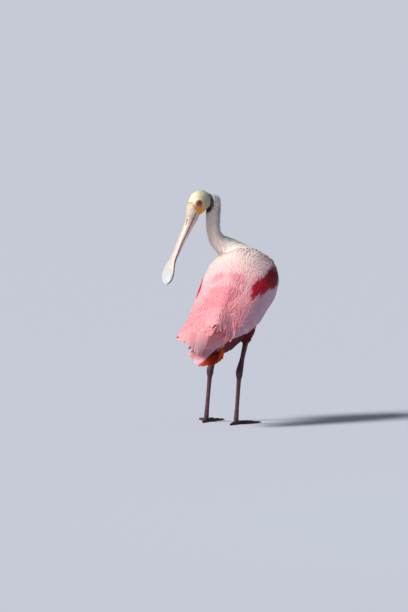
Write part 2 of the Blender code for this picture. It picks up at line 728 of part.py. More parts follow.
def make_wings():
    """Each folded wing: its flesh and every tier of feathers over it, as one solid."""
    for side in SIDES:
        pieces = [wing_core(side)]
        for name, sizes in TIERS[side].items():
            rows = COVERT_ROWS if name.endswith("covert") else FLIGHT_ROWS
            pieces += tier(side, *sizes, rows)
        cutters = [torso_cutter(), tube("neck_cutter", neck_rings(CLEARANCE))]
        finish(fuse("wing_" + side, pieces, cutters), "pink feather")


def make_tail():
    """Twelve feathers fanned from one root, the middle pair on top."""
    root_rings = []
    for along, half_width, thick in TAIL_ROOT:
        centre = TAIL_TIP + along * FORWARD - TAIL_ROOT_DROP * DORSAL
        root_rings.append(ring(centre, LEFT, DORSAL, half_width, thick, thick, TAIL_ROOT_AROUND))
    pieces = [tube("root", root_rings)]
    places = np.linspace(TAIL_VANE_MARGIN, 1 - TAIL_VANE_MARGIN, TAIL_FEATHERS)
    for across in places:
        aside = 2 * across - 1
        pitch = (places[1] - places[0]) * (1 if aside > 0 else -1)
        root = (TAIL_VANE_ROOT + 2 * aside, 0.503 + aside * 0.4)
        tip = (TAIL_VANE_TIP[0] + TAIL_VANE_TIP[1] * aside**2, across)
        heights = (-1.5, -0.6 * abs(aside))
        pieces.append(vane(tail_place, "left", root, tip, TAIL_VANE_HALF_WIDTH,
                           (0.8 * pitch, pitch), heights, FLIGHT_ROWS))
    finish(fuse("tail", pieces, [torso_cutter()]), "orange feather")


def between(near, far, table):
    """Rows whose first value is a share of the way from near to far, with the place instead."""
    return [(*(near + share * (far - near)), *section) for share, *section in table]


def make_leg(side, sizes):
    """One leg as three nodes: the feathered thigh, the bare shin with the tarsus, and the foot."""
    knee, shin, heel, ankle = (np.array(sizes[k], float) for k in ("knee", "shin", "heel", "ankle"))
    thigh = path_rings(smooth(between(knee, shin, THIGH), THIGH_RINGS), LEFT, LEG_AROUND)
    finish(fuse("thigh_" + side, [tube("thigh", thigh)], [torso_cutter()]), "crimson feather")
    rows = between(shin, heel, SHIN) + between(heel, ankle, TARSUS)
    leg = path_rings(smooth(rows, LEG_RINGS), LEFT, LEG_AROUND)
    leg[0] = shin + (thigh[-1] - shin) * SHIN_TOP_SHARE + step_on(thigh, -2) * CLEARANCE
    finish(tube("leg_" + side, leg), "scale")
    heel_of_foot = ankle + (leg[-1] - ankle) * ANKLE_SHARE - ANKLE_DROP * UP
    stub = tube("stub", [leg[-1] + step_on(leg, -2) * CLEARANCE, heel_of_foot])
    start = np.array([ankle[0], ankle[1], 0.0])
    finish(fuse("foot_" + side, toes(side, start, sizes["heading"]) + [stub]), "foot scale")


def toes(side, start, heading):
    """The four toes with their claws, and the webs in the forks of the front three."""
    pieces, headings = [], []
    for angle, length, half_width in TOES:
        turn = radians(heading) + SIDES[side] * radians(angle)
        onward = np.array([sin(turn), -cos(turn), 0.0])
        headings.append(onward)
        across = np.array([-onward[1], onward[0], 0.0])
        rings = []
        for share, height, width in TOE_ROWS:
            centre = start + share * length * onward + height * SOLE_SHARE * UP
            rings.append(ring(centre, across, UP, half_width * width, height, height, TOE_AROUND))
        rings = np.asarray(rings)
        rings[..., 2] = np.maximum(rings[..., 2], 0.0)
        pieces.append(tube("toe", rings))
    for near, far in ((0, 1), (1, 2)):
        pieces.append(web(start, headings[near], headings[far]))
    return pieces


def web(start, near, far):
    """A thin plate in the fork of two toes, with a hollow front edge."""
    middle = near + far
    middle = middle / np.linalg.norm(middle)
    outline = [start, start + WEB_REACH * near, start + WEB_FORK * middle, start + WEB_REACH * far]
    low, high = WEB_HEIGHTS
    points = [place + low * UP for place in outline] + [place + high * UP for place in outline]
    faces = [(0, 1, 2), (0, 2, 3), (4, 5, 6), (4, 6, 7)]
    for k in range(4):
        after = (k + 1) % 4
        faces += [(k, after, after + 4, k + 4)]
    return new_solid("web", points, faces)


def build():
    """Clears the scene and makes every node."""
    for old in list(bpy.data.objects):
        bpy.data.objects.remove(old)
    make_torso()
    make_neck()
    make_head()
    make_wings()
    make_tail()
    for side, sizes in LEGS.items():
        make_leg(side, sizes)


build()
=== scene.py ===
"""Roseate spoonbill: the looks of the life-size still model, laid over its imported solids.

Shapes are worked out in millimetres from between the feet, with the bird heading towards -Y and
its left side at +X, and put into metres in one place, placed. One skin of flesh lies under the
coat. Every feather is a thin closed vane that follows the skin or the folded wing.
"""

import bpy
import numpy as np
from mathutils import Matrix
from mathutils.bvhtree import BVHTree

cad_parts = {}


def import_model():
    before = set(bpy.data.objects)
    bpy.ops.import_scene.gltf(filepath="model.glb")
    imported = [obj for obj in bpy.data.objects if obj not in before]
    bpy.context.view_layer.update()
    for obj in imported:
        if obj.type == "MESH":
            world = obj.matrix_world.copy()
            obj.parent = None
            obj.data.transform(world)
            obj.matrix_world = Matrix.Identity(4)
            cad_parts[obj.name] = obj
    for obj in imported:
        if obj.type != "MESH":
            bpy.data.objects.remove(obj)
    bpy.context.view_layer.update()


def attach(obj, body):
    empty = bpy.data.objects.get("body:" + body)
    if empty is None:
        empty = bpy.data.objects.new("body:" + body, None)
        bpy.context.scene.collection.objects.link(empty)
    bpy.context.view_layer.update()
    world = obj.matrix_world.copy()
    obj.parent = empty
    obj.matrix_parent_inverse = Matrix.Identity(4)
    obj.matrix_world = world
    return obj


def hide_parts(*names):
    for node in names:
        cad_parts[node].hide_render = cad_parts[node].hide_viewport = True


METRES = 0.001
TO_ORIGIN = np.array([-20.0, -35.2, 0.0])
UP = np.array([0.0, 0.0, 1.0])
LEFT = np.array([1.0, 0.0, 0.0])
SIDES = {"left": 1.0, "right": -1.0}
chance = np.random.default_rng(11)

# The body's axis runs from the tip of the tail, up and forward to the breast.
BODY_PITCH = np.radians(36)
TAIL_TIP = np.array([-17.0, 139.0, 139.0])
FORWARD = np.array([0.0, -np.cos(BODY_PITCH), np.sin(BODY_PITCH)])
DORSAL = np.array([0.0, np.sin(BODY_PITCH), np.cos(BODY_PITCH)])

# Torso sections: along the axis, centre above it, half width, rise, drop.
TORSO = (
    (38, -10, 5, 3, 4), (60, -8, 17, 9, 26), (100, 0, 34, 26, 55), (150, 2, 51, 42, 71),
    (200, 4, 60, 52, 73), (245, 6, 63, 54, 74), (280, 8, 57, 49, 69), (303, 10, 49, 42, 57),
    (319, 12, 30, 27, 34), (327, 13, 6, 7, 8),
)
# A low saddle of flesh between the two wings, in the same terms.
SADDLE = (
    (96, 14, 10, 22, 20), (130, 10, 20, 38, 30), (180, 8, 26, 47, 40), (230, 8, 30, 50, 40),
    (270, 8, 34, 46, 40), (300, 10, 26, 30, 30),
)
# Neck: place and half width, rise and drop of its oval section.
NECK = (
    (-17, -62, 288, 42, 40, 42), (-13, -90, 315, 40, 38, 40), (-1, -102, 335, 35, 31, 36),
    (16, -98, 351, 27, 25, 27), (29, -91, 361, 21, 20.5, 21.5), (39.5, -84, 371, 18, 18, 18.5),
    (44.5, -78, 386, 15.5, 15.5, 16), (46, -75, 402, 14.8, 14.8, 15.6),
    (46, -73.5, 422, 14.5, 14.8, 15.5), (45.4, -74.4, 436, 14.4, 15.6, 15.5),
    (45.6, -74.0, 447, 13.6, 14.6, 14.0),
)
# Head: the point between the eyes, and which way the face looks, seen from above.
HEAD_CENTRE = np.array([73.7, -45.5, 446.6])
HEAD_TURN = np.radians(46)
FACING = np.array([np.cos(HEAD_TURN), np.sin(HEAD_TURN), 0.0])
HEAD_LEFT = np.array([-np.sin(HEAD_TURN), np.cos(HEAD_TURN), 0.0])
# Head sections: ahead of the centre, above it, pitch in degrees, half width, rise, drop.
HEAD = (
    (-41, -6, 80, 14.5, 16.5, 15.5), (-37.5, 3, 50, 15, 18.5, 15), (-29, 7, 8, 15.5, 14.8, 16),
    (-19, 7, -18, 17.5, 22, 18), (-8, 2, -38, 18.8, 23.4, 20), (1, -7, -50, 17.5, 19, 18.5),
    (7, -16, -60, 14.5, 14.4, 15.5), (9.8, -27, -70, 11.4, 12.2, 13.4),
)
# Marks of the head, all as above and ahead of its centre: the black band with its half width.
BAND = ((-24, -11.5, 1.8), (-21.6, -13.8, 2.2), (-16.7, -18.4, 3.0), (-11.1, -24.0, 3.8),
        (-4.4, -31.0, 4.8), (2.1, -30.5, 4.2), (12, -29.6, 3.0), (21, -29.5, 1.6))
# The lines in front of which the face is horn: above the mouth's line, and below it.
HORN_EDGE = ((-27, 4.0), (-18.3, 6.1), (-13.2, 7.0), (-8.3, 11.2), (-3.0, 12.5), (0.5, 15.0))
LOWER_HORN_EDGE = ((-25, -5.0), (-22, 0.5), (-18, 4.5))
MOUTH_LINE = ((-28.6, 10.6), (-22.4, 8.0), (-16.5, 5.6))
# The orange cheek and pouch, as ahead and above.
CHEEK = ((12.8, -2), (10.4, -3.2), (5.9, -4.1), (-1, -5.1), (-14.7, -5.5), (-14.5, -9),
         (-10.9, -13.6), (-9.2, -19.5), (-5.8, -24.8), (-0.1, -22), (2.4, -16.7), (7, -13.2),
         (11.2, -8.3))
# Bill sections: ahead of the head's centre, above it, half width, upper and lower height.
BILL = (
    (9.8, -27, 11, 11.7, 12.6), (16, -41, 10.2, 9.0, 9.4), (25.8, -60, 9.3, 7.2, 8.0),
    (37.2, -81, 9, 5.6, 6.8), (47.2, -102, 9.8, 4.4, 5.4), (54.5, -115, 13, 4.2, 4.2),
    (60, -127, 19.5, 3.6, 3.3), (64.2, -140, 24.5, 3.2, 2.8), (67, -152, 23, 2.8, 2.5),
    (68.6, -159, 16, 2.2, 2.1), (69.2, -163, 6, 1.4, 1.2),
)
# How square each half of the bill is across: the powers of its sine and cosine.
ARCH_POWERS = {"upper": (0.8, 1.0), "lower": (0.65, 0.6)}
# The cross ridges at the bill's root, from one to the next.
RIDGE_PITCH = 4.4
# Eyes: place ahead, above and aside of the head's centre, and the rim of the lids.
EYE_PLACE = (0.8, 2.4, 12.6)
EYE_RADIUS = 6.8
LID_LENGTH = 5.7
LID_HEIGHT = 5.1
LID_OUT = 16.9

# Legs: top of the bare shin, heel, foot of the tarsus and the heading of the foot in degrees.
LEGS = {
    "left": {"knee": (6, -62, 236), "shin": (22.6, -41.4, 170), "heel": (32.2, -15.3, 109.5),
             "ankle": (42.8, -21.8, 12), "heading": 4},
    "right": {"knee": (-44, -27, 232), "shin": (-49.9, 5, 165), "heel": (-45.4, 31.0, 109.5),
              "ankle": (-36.2, 24.0, 12), "heading": -6},
}
# Toes: heading to the outer side in degrees, length, half width at the base, number of pads.
TOES = ((-24, 62, 4.2, 3), (2, 78, 4.6, 4), (27, 68, 4.2, 3), (180, 33, 3.8, 2))
CLAW_SHARE = 0.88
# A toe's middle lies this share of its half height over the ground, so that its sole is flat.
SOLE_SHARE = 0.7

# Folded wings: along the body's axis, outward, above it, half width, rise, drop, the angles in
# degrees from level at which the lower and upper edges run, and the sag of the upper edge.
WINGS = {
    "left": (
        (312, 0, 8, 38, 34, 34, -10, 34, 0), (298, 0, 8, 54, 42, 46, -24, 50, 0),
        (262, 0, 6, 69, 58, 64, -30, 78, 0), (230, 0, 4, 74, 62, 68, -30, 88.6, 0),
        (190, 0, 4, 74, 62, 64, -28, 89.0, 0), (140, 0, 6, 71, 57, 52, -26, 89.2, 0),
        (90, 3, 16, 68, 46, 34, -14, 98, 4), (45, 8, 34, 66, 30, 20, 0, 106, 10),
        (10, 14, 56, 54, 16, 12, 18, 112, 18), (-14, 18, 69, 49, 9, 6, 28, 118, 29),
        (-45, 20, 77, 44, 6, 4, 34, 120, 36),
    ),
    "right": (
        (312, 0, 8, 45, 32, 34, -18, 34, 0), (298, 0, 8, 64, 42, 46, -26, 46, 0),
        (262, 0, 6, 78, 54, 64, -30, 70, 0), (230, 0, 4, 80, 62, 68, -30, 88.4, 0),
        (190, 0, 4, 75, 62, 64, -26, 89.0, 0), (140, 0, 2, 71, 55, 50, -20, 89.2, 0),
        (90, -2, 2, 60, 44, 34, -6, 91, 0), (45, -12, 8, 48, 30, 20, 15, 100, 0),
        (0, -26, 16, 41, 15, 12, 32, 106, 0), (-36, -34, 20, 35, 8, 8, 38, 106, 0),
    ),
}
# Depth of the flesh under the wing's outer surface, along the axis.
CORE_SINK = ((312, 1.4), (290, 4.0), (150, 5.0), (116, 6.0), (108, 9.0))
# Wing feathers from the bottom up: number, root and tip along the axis for the lowest and the
# uppermost one, the span across of roots and of tips, half width, heights of roots and tips.
TIERS = {
    "left": {
        "primaries": (12, (130, 138), (-4, -22), (0.05, 0.34), (0.06, 0.46), 8.0, (-11.5, -9.4)),
        "secondaries": (15, (136, 140), (-10, -46), (0.20, 0.82), (0.30, 0.93), 9.5, (-7.2, -5.2)),
        "tertials": (9, (142, 150), (14, 36), (0.56, 0.97), (0.58, 0.97), 10.0, (-5.6, -5.0)),
        "greater_coverts": (24, (176, 172), (84, 100), (0.03, 0.98), (0.04, 0.98), 5.2, (-5.4, -1.9)),
    },
    "right": {
        "primaries": (12, (130, 138), (-34, -24), (0.05, 0.34), (0.06, 0.72), 7.5, (-11.5, -9.4)),
        "secondaries": (15, (136, 140), (12, -10), (0.20, 0.82), (0.16, 0.93), 9.5, (-7.2, -5.2)),
        "tertials": (9, (142, 150), (24, 42), (0.56, 0.97), (0.54, 0.97), 10.0, (-5.6, -5.0)),
        "greater_coverts": (24, (176, 172), (82, 100), (0.03, 0.98), (0.04, 0.98), 5.2, (-5.4, -1.9)),
    },
}
# Marks of the wing, as along the axis and 200 times the share across: the crimson patch, and
# streaks of deeper pink.
MARK_SCALE = 200.0
PATCH_OUTLINE = ((167, 122), (184, 124), (205, 117), (221, 112), (249, 116), (268, 120),
                 (277, 64), (251, 50), (226, 58), (199, 68), (179, 82), (165, 98), (153, 112))
# The upper edge of the painted shade on the flank, as along the axis and share across.
SIDE_SHADE_EDGE = ((44, 0.24), (73, 0.24), (96, 0.36), (123, 0.44), (156, 0.46), (261, 0.70))
DEEP_STREAKS = (((194, 191), (176, 199)), ((190, 176), (152, 182)), ((154, 192), (130, 189)),
                ((97, 134), (107, 189)), ((114, 200), (126, 160)), ((60, 110), (20, 150)))
# How far in mm the right wing's feathers stand up at the shoulder and at the back.
PUFF = 7.0
BACK_LIFT = 11.0
# Tail: along the axis, above it, half width of the fan, how far its sides hang, and its shift
# to the left.
TAIL = ((76, -7, 10, 1, 0), (50, -9, 16, 2, 0.5), (20, -11, 21.5, 3, 2.5), (-6, -12, 25, 5, 5.5))
TAIL_FEATHERS = 12

# Coat colours, as they look in even light, save two that are painted shade: the mauve flank and the
# maroon.
WHITE, CREAM, MANTLE = "f3e8de", "fdf4e8", "e8d2cc"
PALE_PINK, PINK, DEEP_PINK = "f6c0c3", "f797a4", "ea7488"
SHADED_FLANK = "c9a5bf"
CRIMSON, SHADED_CRIMSON, ORANGE = "c80f2c", "5c0618", "ea6a18"


def linear(code):
    """A colour such as f8a4ab as linear red, green and blue."""
    channels = np.array([int(code[k:k + 2], 16) / 255 for k in (0, 2, 4)])
    return np.where(channels <= 0.04045, channels / 12.92, ((channels + 0.055) / 1.055) ** 2.4)


def mixed(first, second, share):
    """Colours between two others: first + (second - first) * share, for each point."""
    first = linear(first) if isinstance(first, str) else first
    second = linear(second) if isinstance(second, str) else second
    return first + (second - first) * np.asarray(share)[..., None]


def step(low, high, value):
    """A smooth step from 0 at low to 1 at high: 3t^2 - 2t^3 of the clipped share t."""
    share = np.clip((np.asarray(value, float) - low) / (high - low), 0, 1)
    return share * share * (3 - 2 * share)


def mottle(places, size, seed=0.0):
    """Soft blotches from -1 to 1: the mean of sines along three slanted directions."""
    waves = np.array([[0.9, 0.3, 0.4], [-0.5, 0.8, 0.35], [0.25, -0.6, 0.85], [0.7, 0.7, -0.5]])
    phase = np.asarray(places) @ waves.T * (2 * np.pi / size) + seed * np.array([1, 2.3, 3.1, 4.7])
    return np.sin(phase + 1.7 * np.sin(phase[..., ::-1] * 0.61)).mean(axis=-1)


def off_line(x, y, line):
    """Distances from the points (x, y) to the nearest stretch of a line through some corners."""
    spots = np.stack([x, y], -1)[..., None, :]
    corners = np.array(line, float)
    start, run = corners[:-1], np.diff(corners, axis=0)
    share = np.clip(((spots - start) * run).sum(-1) / (run**2).sum(-1), 0, 1)
    return np.linalg.norm(spots - start - share[..., None] * run, axis=-1).min(axis=-1)


def off_outline(x, y, outline):
    """Distances from points to a closed outline, below zero inside it.

    A point lies inside when a level ray from it crosses the outline an odd number of times.
    """
    corners = np.array([*outline, outline[0]], float)
    (x0, y0), (x1, y1) = corners[:-1].T, corners[1:].T
    level, height = x[..., None], y[..., None]
    over = (y0 > height) != (y1 > height)
    crossed = over & (level < (x1 - x0) * (height - y0) / (y1 - y0 + 1e-9) + x0)
    return np.where(crossed.sum(axis=-1) % 2 == 1, -1, 1) * off_line(x, y, corners)


def unit(vectors):
    """Vectors of length one."""
    return vectors / (np.linalg.norm(vectors, axis=-1, keepdims=True) + 1e-9)


def smooth(rows, count):
    """Rows at even steps on the cubic curve that passes through all the given rows."""
    rows = np.asarray(rows, float)
    padded = np.vstack([2 * rows[0] - rows[1], rows, 2 * rows[-1] - rows[-2]])
    places = np.linspace(0, len(rows) - 1, count)
    first = np.minimum(places.astype(int), len(rows) - 2)
    share = (places - first)[:, None]
    a, b, c, d = (padded[first + k] for k in range(4))
    return 0.5 * (2 * b + (c - a) * share + (2 * a - 5 * b + 4 * c - d) * share**2
                  + (3 * b - 3 * c + d - a) * share**3)


def ovals(centres, side, up, widths, rises, drops, around):
    """Ovals round a line of centres: width * cos across and rise or drop * sin upward."""
    angle = np.linspace(0, 2 * np.pi, around, endpoint=False)
    height = np.where(np.sin(angle) > 0, rises[:, None], drops[:, None]) * np.sin(angle)
    across = widths[:, None] * np.cos(angle)
    side, up = np.broadcast_to(side, centres.shape), np.broadcast_to(up, centres.shape)
    return (centres[:, None] + across[..., None] * side[:, None]
            + height[..., None] * up[:, None])


def axis_rings(table, rows, around, inset):
    """Ovals square to the body's axis, drawn in by inset."""
    read = smooth(table, rows)
    centres = TAIL_TIP + read[:, :1] * FORWARD + read[:, 1:2] * DORSAL
    sizes = np.maximum(read[:, 2:] - inset, 1.5)
    return ovals(centres, LEFT, DORSAL, *sizes.T, around)


def path_rings(rows, hint, around, inset=0.0):
    """Ovals square to a path, whose rows hold place, half width, rise and drop."""
    onward = unit(np.gradient(rows[:, :3], axis=0))
    side = unit(hint - onward * (onward @ hint)[:, None])
    sizes = np.maximum(rows[:, 3:6] - inset, 0.8)
    return ovals(rows[:, :3], side, np.cross(onward, side), *sizes.T, around)


def lofts(rings):
    """Points and triangles of closed shapes, from rings[shape, row, point] with flat ends."""
    count, rows, around = rings.shape[:3]
    index = np.arange(count * rows * around).reshape(count, rows, around)
    near, far = index[:, :-1], index[:, 1:]
    near_next, far_next = np.roll(near, -1, 2), np.roll(far, -1, 2)
    parts = [np.stack([near, near_next, far_next], -1), np.stack([near, far_next, far], -1)]
    first, last = index[:, 0], index[:, -1]
    rim = np.arange(1, around - 1)
    tip = np.zeros_like(rim)
    parts.append(np.stack([first[:, tip], first[:, rim + 1], first[:, rim]], -1))
    parts.append(np.stack([last[:, tip], last[:, rim], last[:, rim + 1]], -1))
    points = rings.reshape(-1, 3)
    return points, facing_out(points, np.vstack([part.reshape(-1, 3) for part in parts]))


def facing_out(points, triangles):
    """The triangles, turned over if the volume that they enclose comes out below zero."""
    a, b, c = (points[triangles[:, k]] for k in range(3))
    volume = np.einsum("ij,ij->i", a, np.cross(b, c)).sum()
    return triangles if volume > 0 else triangles[:, ::-1]


def placed(points):
    """Millimetres from between the feet, as metres in the model's own frame."""
    return (np.asarray(points, float) + TO_ORIGIN) * METRES


def new_piece(name, points, faces, finish, colours=None, uv_maps=None, crease=180.0):
    """A piece of the model from arrays of points and faces, with its finish and its marks."""
    mesh = bpy.data.meshes.new(name)
    faces = np.ascontiguousarray(faces, np.int32)
    count, corners = faces.shape
    mesh.vertices.add(len(points))
    mesh.vertices.foreach_set("co", placed(points).astype(np.float32).ravel())
    mesh.loops.add(count * corners)
    mesh.loops.foreach_set("vertex_index", faces.ravel())
    mesh.polygons.add(count)
    mesh.polygons.foreach_set("loop_start", np.arange(count, dtype=np.int32) * corners)
    mesh.update(calc_edges=True)
    mesh.shade_smooth()
    if crease < 180:
        mesh.set_sharp_from_angle(angle=np.radians(crease))
    if colours is not None:
        layer = mesh.color_attributes.new("Coat", "FLOAT_COLOR", "POINT")
        rgba = np.concatenate([colours.reshape(-1, 3), np.ones((len(points), 1))], 1)
        layer.data.foreach_set("color", rgba.astype(np.float32).ravel())
    for title, places in (uv_maps or {}).items():
        layer = mesh.uv_layers.new(name=title)
        corners_at = places.reshape(-1, 2)[faces.ravel()]
        layer.data.foreach_set("uv", corners_at.astype(np.float32).ravel())
    mesh.materials.append(finish)
    made = bpy.data.objects.new(name, mesh)
    bpy.context.scene.collection.objects.link(made)
    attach(made, "root")
    return made


def merged_flesh(name, shapes, voxel, softening):
    """One closed surface round overlapping lofts: remeshed on a fine grid, then relaxed."""
    points, triangles, base = [], [], 0
    for rings in shapes:
        shape_points, shape_triangles = lofts(rings[None])
        points.append(shape_points)
        triangles.append(shape_triangles + base)
        base += len(shape_points)
    mesh = bpy.data.meshes.new(name)
    mesh.from_pydata(np.vstack(points).tolist(), [], np.vstack(triangles).tolist())
    work = bpy.data.objects.new(name, mesh)
    bpy.context.scene.collection.objects.link(work)
    grid = work.modifiers.new("Grid", "REMESH")
    grid.mode = "VOXEL"
    grid.voxel_size = voxel
    relaxed = work.modifiers.new("Relaxed", "SMOOTH")
    relaxed.iterations = softening
    relaxed.factor = 0.5
    bpy.context.view_layer.update()
    shaped = work.evaluated_get(bpy.context.evaluated_depsgraph_get()).to_mesh()
    places = np.zeros(len(shaped.vertices) * 3)
    shaped.vertices.foreach_get("co", places)
    shaped.calc_loop_triangles()
    corners = np.zeros(len(shaped.loop_triangles) * 3, np.int32)
    shaped.loop_triangles.foreach_get("vertices", corners)
    bpy.data.objects.remove(work)
    places, corners = places.reshape(-1, 3), corners.reshape(-1, 3)
    return places, facing_out(places, corners)


def head_place(ahead, above, left=0.0):
    ahead, above, left = (np.asarray(value, float)[..., None] for value in (ahead, above, left))
    return HEAD_CENTRE + ahead * FACING + above * UP + left * HEAD_LEFT


def head_terms(points):
    """How far points lie ahead of the head's centre, above it and to its left."""
    offset = points - HEAD_CENTRE
    return offset @ FACING, offset @ UP, offset @ HEAD_LEFT


def body_terms(points):
    """How far points lie along the body's axis, above it and to its left."""
    offset = points - TAIL_TIP
    return offset @ FORWARD, offset @ DORSAL, offset @ LEFT


def wing_place(side, along, across):
    """The folded wing's outer surface: across runs 0 to 1 from its lower to its upper edge."""
    table = np.asarray(WINGS[side], float)[::-1]
    along, across = np.broadcast_arrays(np.asarray(along, float), across)
    read = [np.interp(along, table[:, 0], table[:, k]) for k in range(1, 9)]
    out, above, half_width, rise, drop, low, high, sag = read
    angle = np.radians(low + (high - low) * across)
    height = np.where(np.sin(angle) > 0, rise, drop) * np.sin(angle) - sag * across**2
    sideways = SIDES[side] * (out + half_width * np.cos(angle))
    return (TAIL_TIP + along[..., None] * FORWARD + sideways[..., None] * LEFT
            + (above + height)[..., None] * DORSAL)


def shoulder_puff(along):
    """How far the feathers of the right shoulder are puffed up, along the axis."""
    return PUFF * np.exp(-(((along - 274) / 26) ** 2))


def feather_place(side, along, across):
    """The wing's outer surface under its feathers: the right wing's are loose and stand higher.

    They are puffed up over the shoulder, and at the back they rise to the left wing's edge.
    """
    along, across = np.broadcast_arrays(np.asarray(along, float), across)
    lift = shoulder_puff(along) * step(0.7, 0.95, across)
    lift = lift + BACK_LIFT * step(0.4, 0.95, across) * step(150, 95, along)
    return wing_place(side, along, across) + (lift * (side == "right"))[..., None] * DORSAL


def tail_place(side, along, across):
    """The tail's upper surface: across runs 0 to 1 over the fan from right to left."""
    table = np.asarray(TAIL, float)[::-1]
    along, across = np.broadcast_arrays(np.asarray(along, float), across)
    read = [np.interp(along, table[:, 0], table[:, k]) for k in (1, 2, 3, 4)]
    above, half_width, hang, shift = read
    share = 2 * across - 1
    return (TAIL_TIP + along[..., None] * FORWARD + (share * half_width + shift)[..., None] * LEFT
            + (above - hang * share**2)[..., None] * DORSAL)


def back_place(side, along, across):
    """The back over both wings: across runs 0 to 1 from 40 mm right of the middle to 40 mm left."""
    along, across = np.broadcast_arrays(np.asarray(along, float), across)
    aside = 80 * across - 40
    tops = []
    for name, sign in SIDES.items():
        table = np.asarray(WINGS[name], float)[::-1]
        out, above, half_width, rise, sag = [np.interp(along, table[:, 0], table[:, k])
                                             for k in (1, 2, 3, 4, 8)]
        share = np.clip((sign * aside - out) / half_width, -0.9, 0.9)
        tops.append(above + rise * np.sqrt(1 - share**2) - 0.9 * sag)
    height = tops[1] + (tops[0] - tops[1]) * step(-36, -10, aside)
    height = height + shoulder_puff(along) * step(20, -4, aside)
    return (TAIL_TIP + along[..., None] * FORWARD + aside[..., None] * LEFT
            + height[..., None] * DORSAL)


def surface_frame(place, side, along, across):
    """Points of a surface, their outward normals, and millimetres for each unit across."""
    here = place(side, along, across)
    onward = place(side, along + 1, across) - place(side, along - 1, across)
    over = (place(side, along, across + 0.01) - place(side, along, across - 0.01)) / 0.02
    normal = unit(np.cross(onward, over))
    inward = normal @ DORSAL + 0.6 * SIDES[side] * (normal @ LEFT) < 0
    return here, normal * np.where(inward, -1, 1)[..., None], np.linalg.norm(over, axis=-1)


def core_sink(along):
    depths = np.array(CORE_SINK)[::-1]
    return np.interp(along, depths[:, 0], depths[:, 1])


def wing_flesh(side):
    """Rings of the wing's arm and hand: the outer surface sunk in, and 24 mm below that."""
    alongs = np.array([312.0, 300, 280, 255, 225, 190, 155, 128, 112])
    thick = np.interp(alongs, (109, 130, 190), (5.0, 10.0, 24.0))[:, None, None]
    upper = np.interp(alongs, (109, 150), (0.88, 0.99))[:, None]
    shares = 0.01 + (upper - 0.01) * np.linspace(0, 1, 24)
    outer, normal, _ = surface_frame(wing_place, side, alongs[:, None] + 0 * shares, shares)
    outer = outer - core_sink(alongs)[:, None, None] * normal
    inward = (TAIL_TIP + alongs[:, None] * FORWARD)[:, None] - outer
    inward = unit(inward - (inward @ FORWARD)[..., None] * FORWARD)
    return np.concatenate([outer, (outer + inward * thick)[:, ::-1]], axis=1)


def neck_rings(rows, around, inset):
    return path_rings(smooth(NECK, rows), HEAD_LEFT, around, inset)


def head_rings(rows, around, inset=0.0):
    """Ovals along the skull, each pitched as its row says."""
    ahead, above, pitch, half_width, rise, drop = smooth(HEAD, rows).T
    tilt = np.radians(pitch)[:, None]
    up = -np.sin(tilt) * FACING + np.cos(tilt) * UP
    sizes = (half_width - inset, rise - inset, drop - inset)
    return ovals(head_place(ahead, above), HEAD_LEFT, up, *sizes, around)


def thigh_rows(side):
    """Places and sizes down the feathered thigh."""
    knee, shin = (np.array(LEGS[side][k], float) for k in ("knee", "shin"))
    table = [(*knee, 20, 26, 24), (*(0.5 * (knee + shin)), 19.5, 22, 20),
             (*(shin + 0.12 * (knee - shin)), 11, 12, 12), (*shin, 6.5, 7, 7)]
    return smooth(table, 24)


def make_skin():
    """The flesh of torso, neck, thighs and wings as one surface under the coat."""
    shapes = [axis_rings(TORSO, 60, 96, 2.0), axis_rings(SADDLE, 30, 48, 2.0),
              neck_rings(70, 72, 2.0), wing_flesh("left"), wing_flesh("right")]
    shapes += [path_rings(thigh_rows(side), LEFT, 40, 2.0) for side in SIDES]
    points, triangles = merged_flesh("skin", shapes, 2.6, 6)
    along, above, left = body_terms(points)
    share_round = np.arctan2(left, above) / (2 * np.pi) + 0.5
    unwrap = np.stack([share_round, (along + 60) / 520], -1) * 0.94 + 0.03
    new_piece("skin", points, triangles, downy_skin(),
              coat_colour(points), {"OFBake": unwrap})
    return BVHTree.FromPolygons(points.tolist(), triangles.tolist())


def on_skin(ground, places):
    """The nearest points of the skin to some places, with its normals and the distances."""
    hits = [ground.find_nearest(place) for place in places.tolist()]
    return (np.array([hit[0] for hit in hits]), np.array([hit[1] for hit in hits]),
            np.array([hit[3] for hit in hits]))


# A body feather: share of its length, of its width, and of its rise off the skin.
PLUME_ROWS = ((0.0, 0.35, 0.0), (0.3, 0.95, 0.35), (0.65, 0.9, 0.75), (0.9, 0.5, 1.0),
              (1.0, 0.08, 1.05))
PLUME_SINK = -0.8
PATCH = 0.003


def lay_plumes(ground, roots, lies, lengths, widths, rises):
    """Feathers as three-sided vanes: each row steps on along the lie and back onto the skin.

    Across a row the points are left edge, raised middle and right edge.
    """
    place, normal, _ = on_skin(ground, roots)
    rings, walked = [], 0.0
    for share, width, rise in PLUME_ROWS:
        onward = unit(lies - np.einsum("ij,ij->i", lies, normal)[:, None] * normal)
        if share > walked:
            ahead = place + onward * (lengths * (share - walked))[:, None]
            place, normal, _ = on_skin(ground, ahead)
            onward = unit(lies - np.einsum("ij,ij->i", lies, normal)[:, None] * normal)
            walked = share
        side = np.cross(normal, onward)
        height = PLUME_SINK + (rises - PLUME_SINK) * rise
        middle = place + normal * height[:, None]
        half = (0.5 * widths * width)[:, None] * side
        ridge = normal * (0.10 * widths * width + 0.12)[:, None]
        rings.append(np.stack([middle - half, middle + ridge, middle + half], 1))
    return np.stack(rings, 1)


def plume_maps(patch_places, rows, columns):
    """UV maps of many vanes: the whole vane on Vane, and a patch at its root on OFBake."""
    count = len(patch_places)
    across = np.broadcast_to(columns[None, None, :], (count, len(rows), len(columns)))
    along = np.broadcast_to(rows[None, :, None], across.shape)
    vane = np.stack([across, along], -1)
    return {"OFBake": patch_places[:, None, None, :] + PATCH * (vane - 0.5), "Vane": vane}


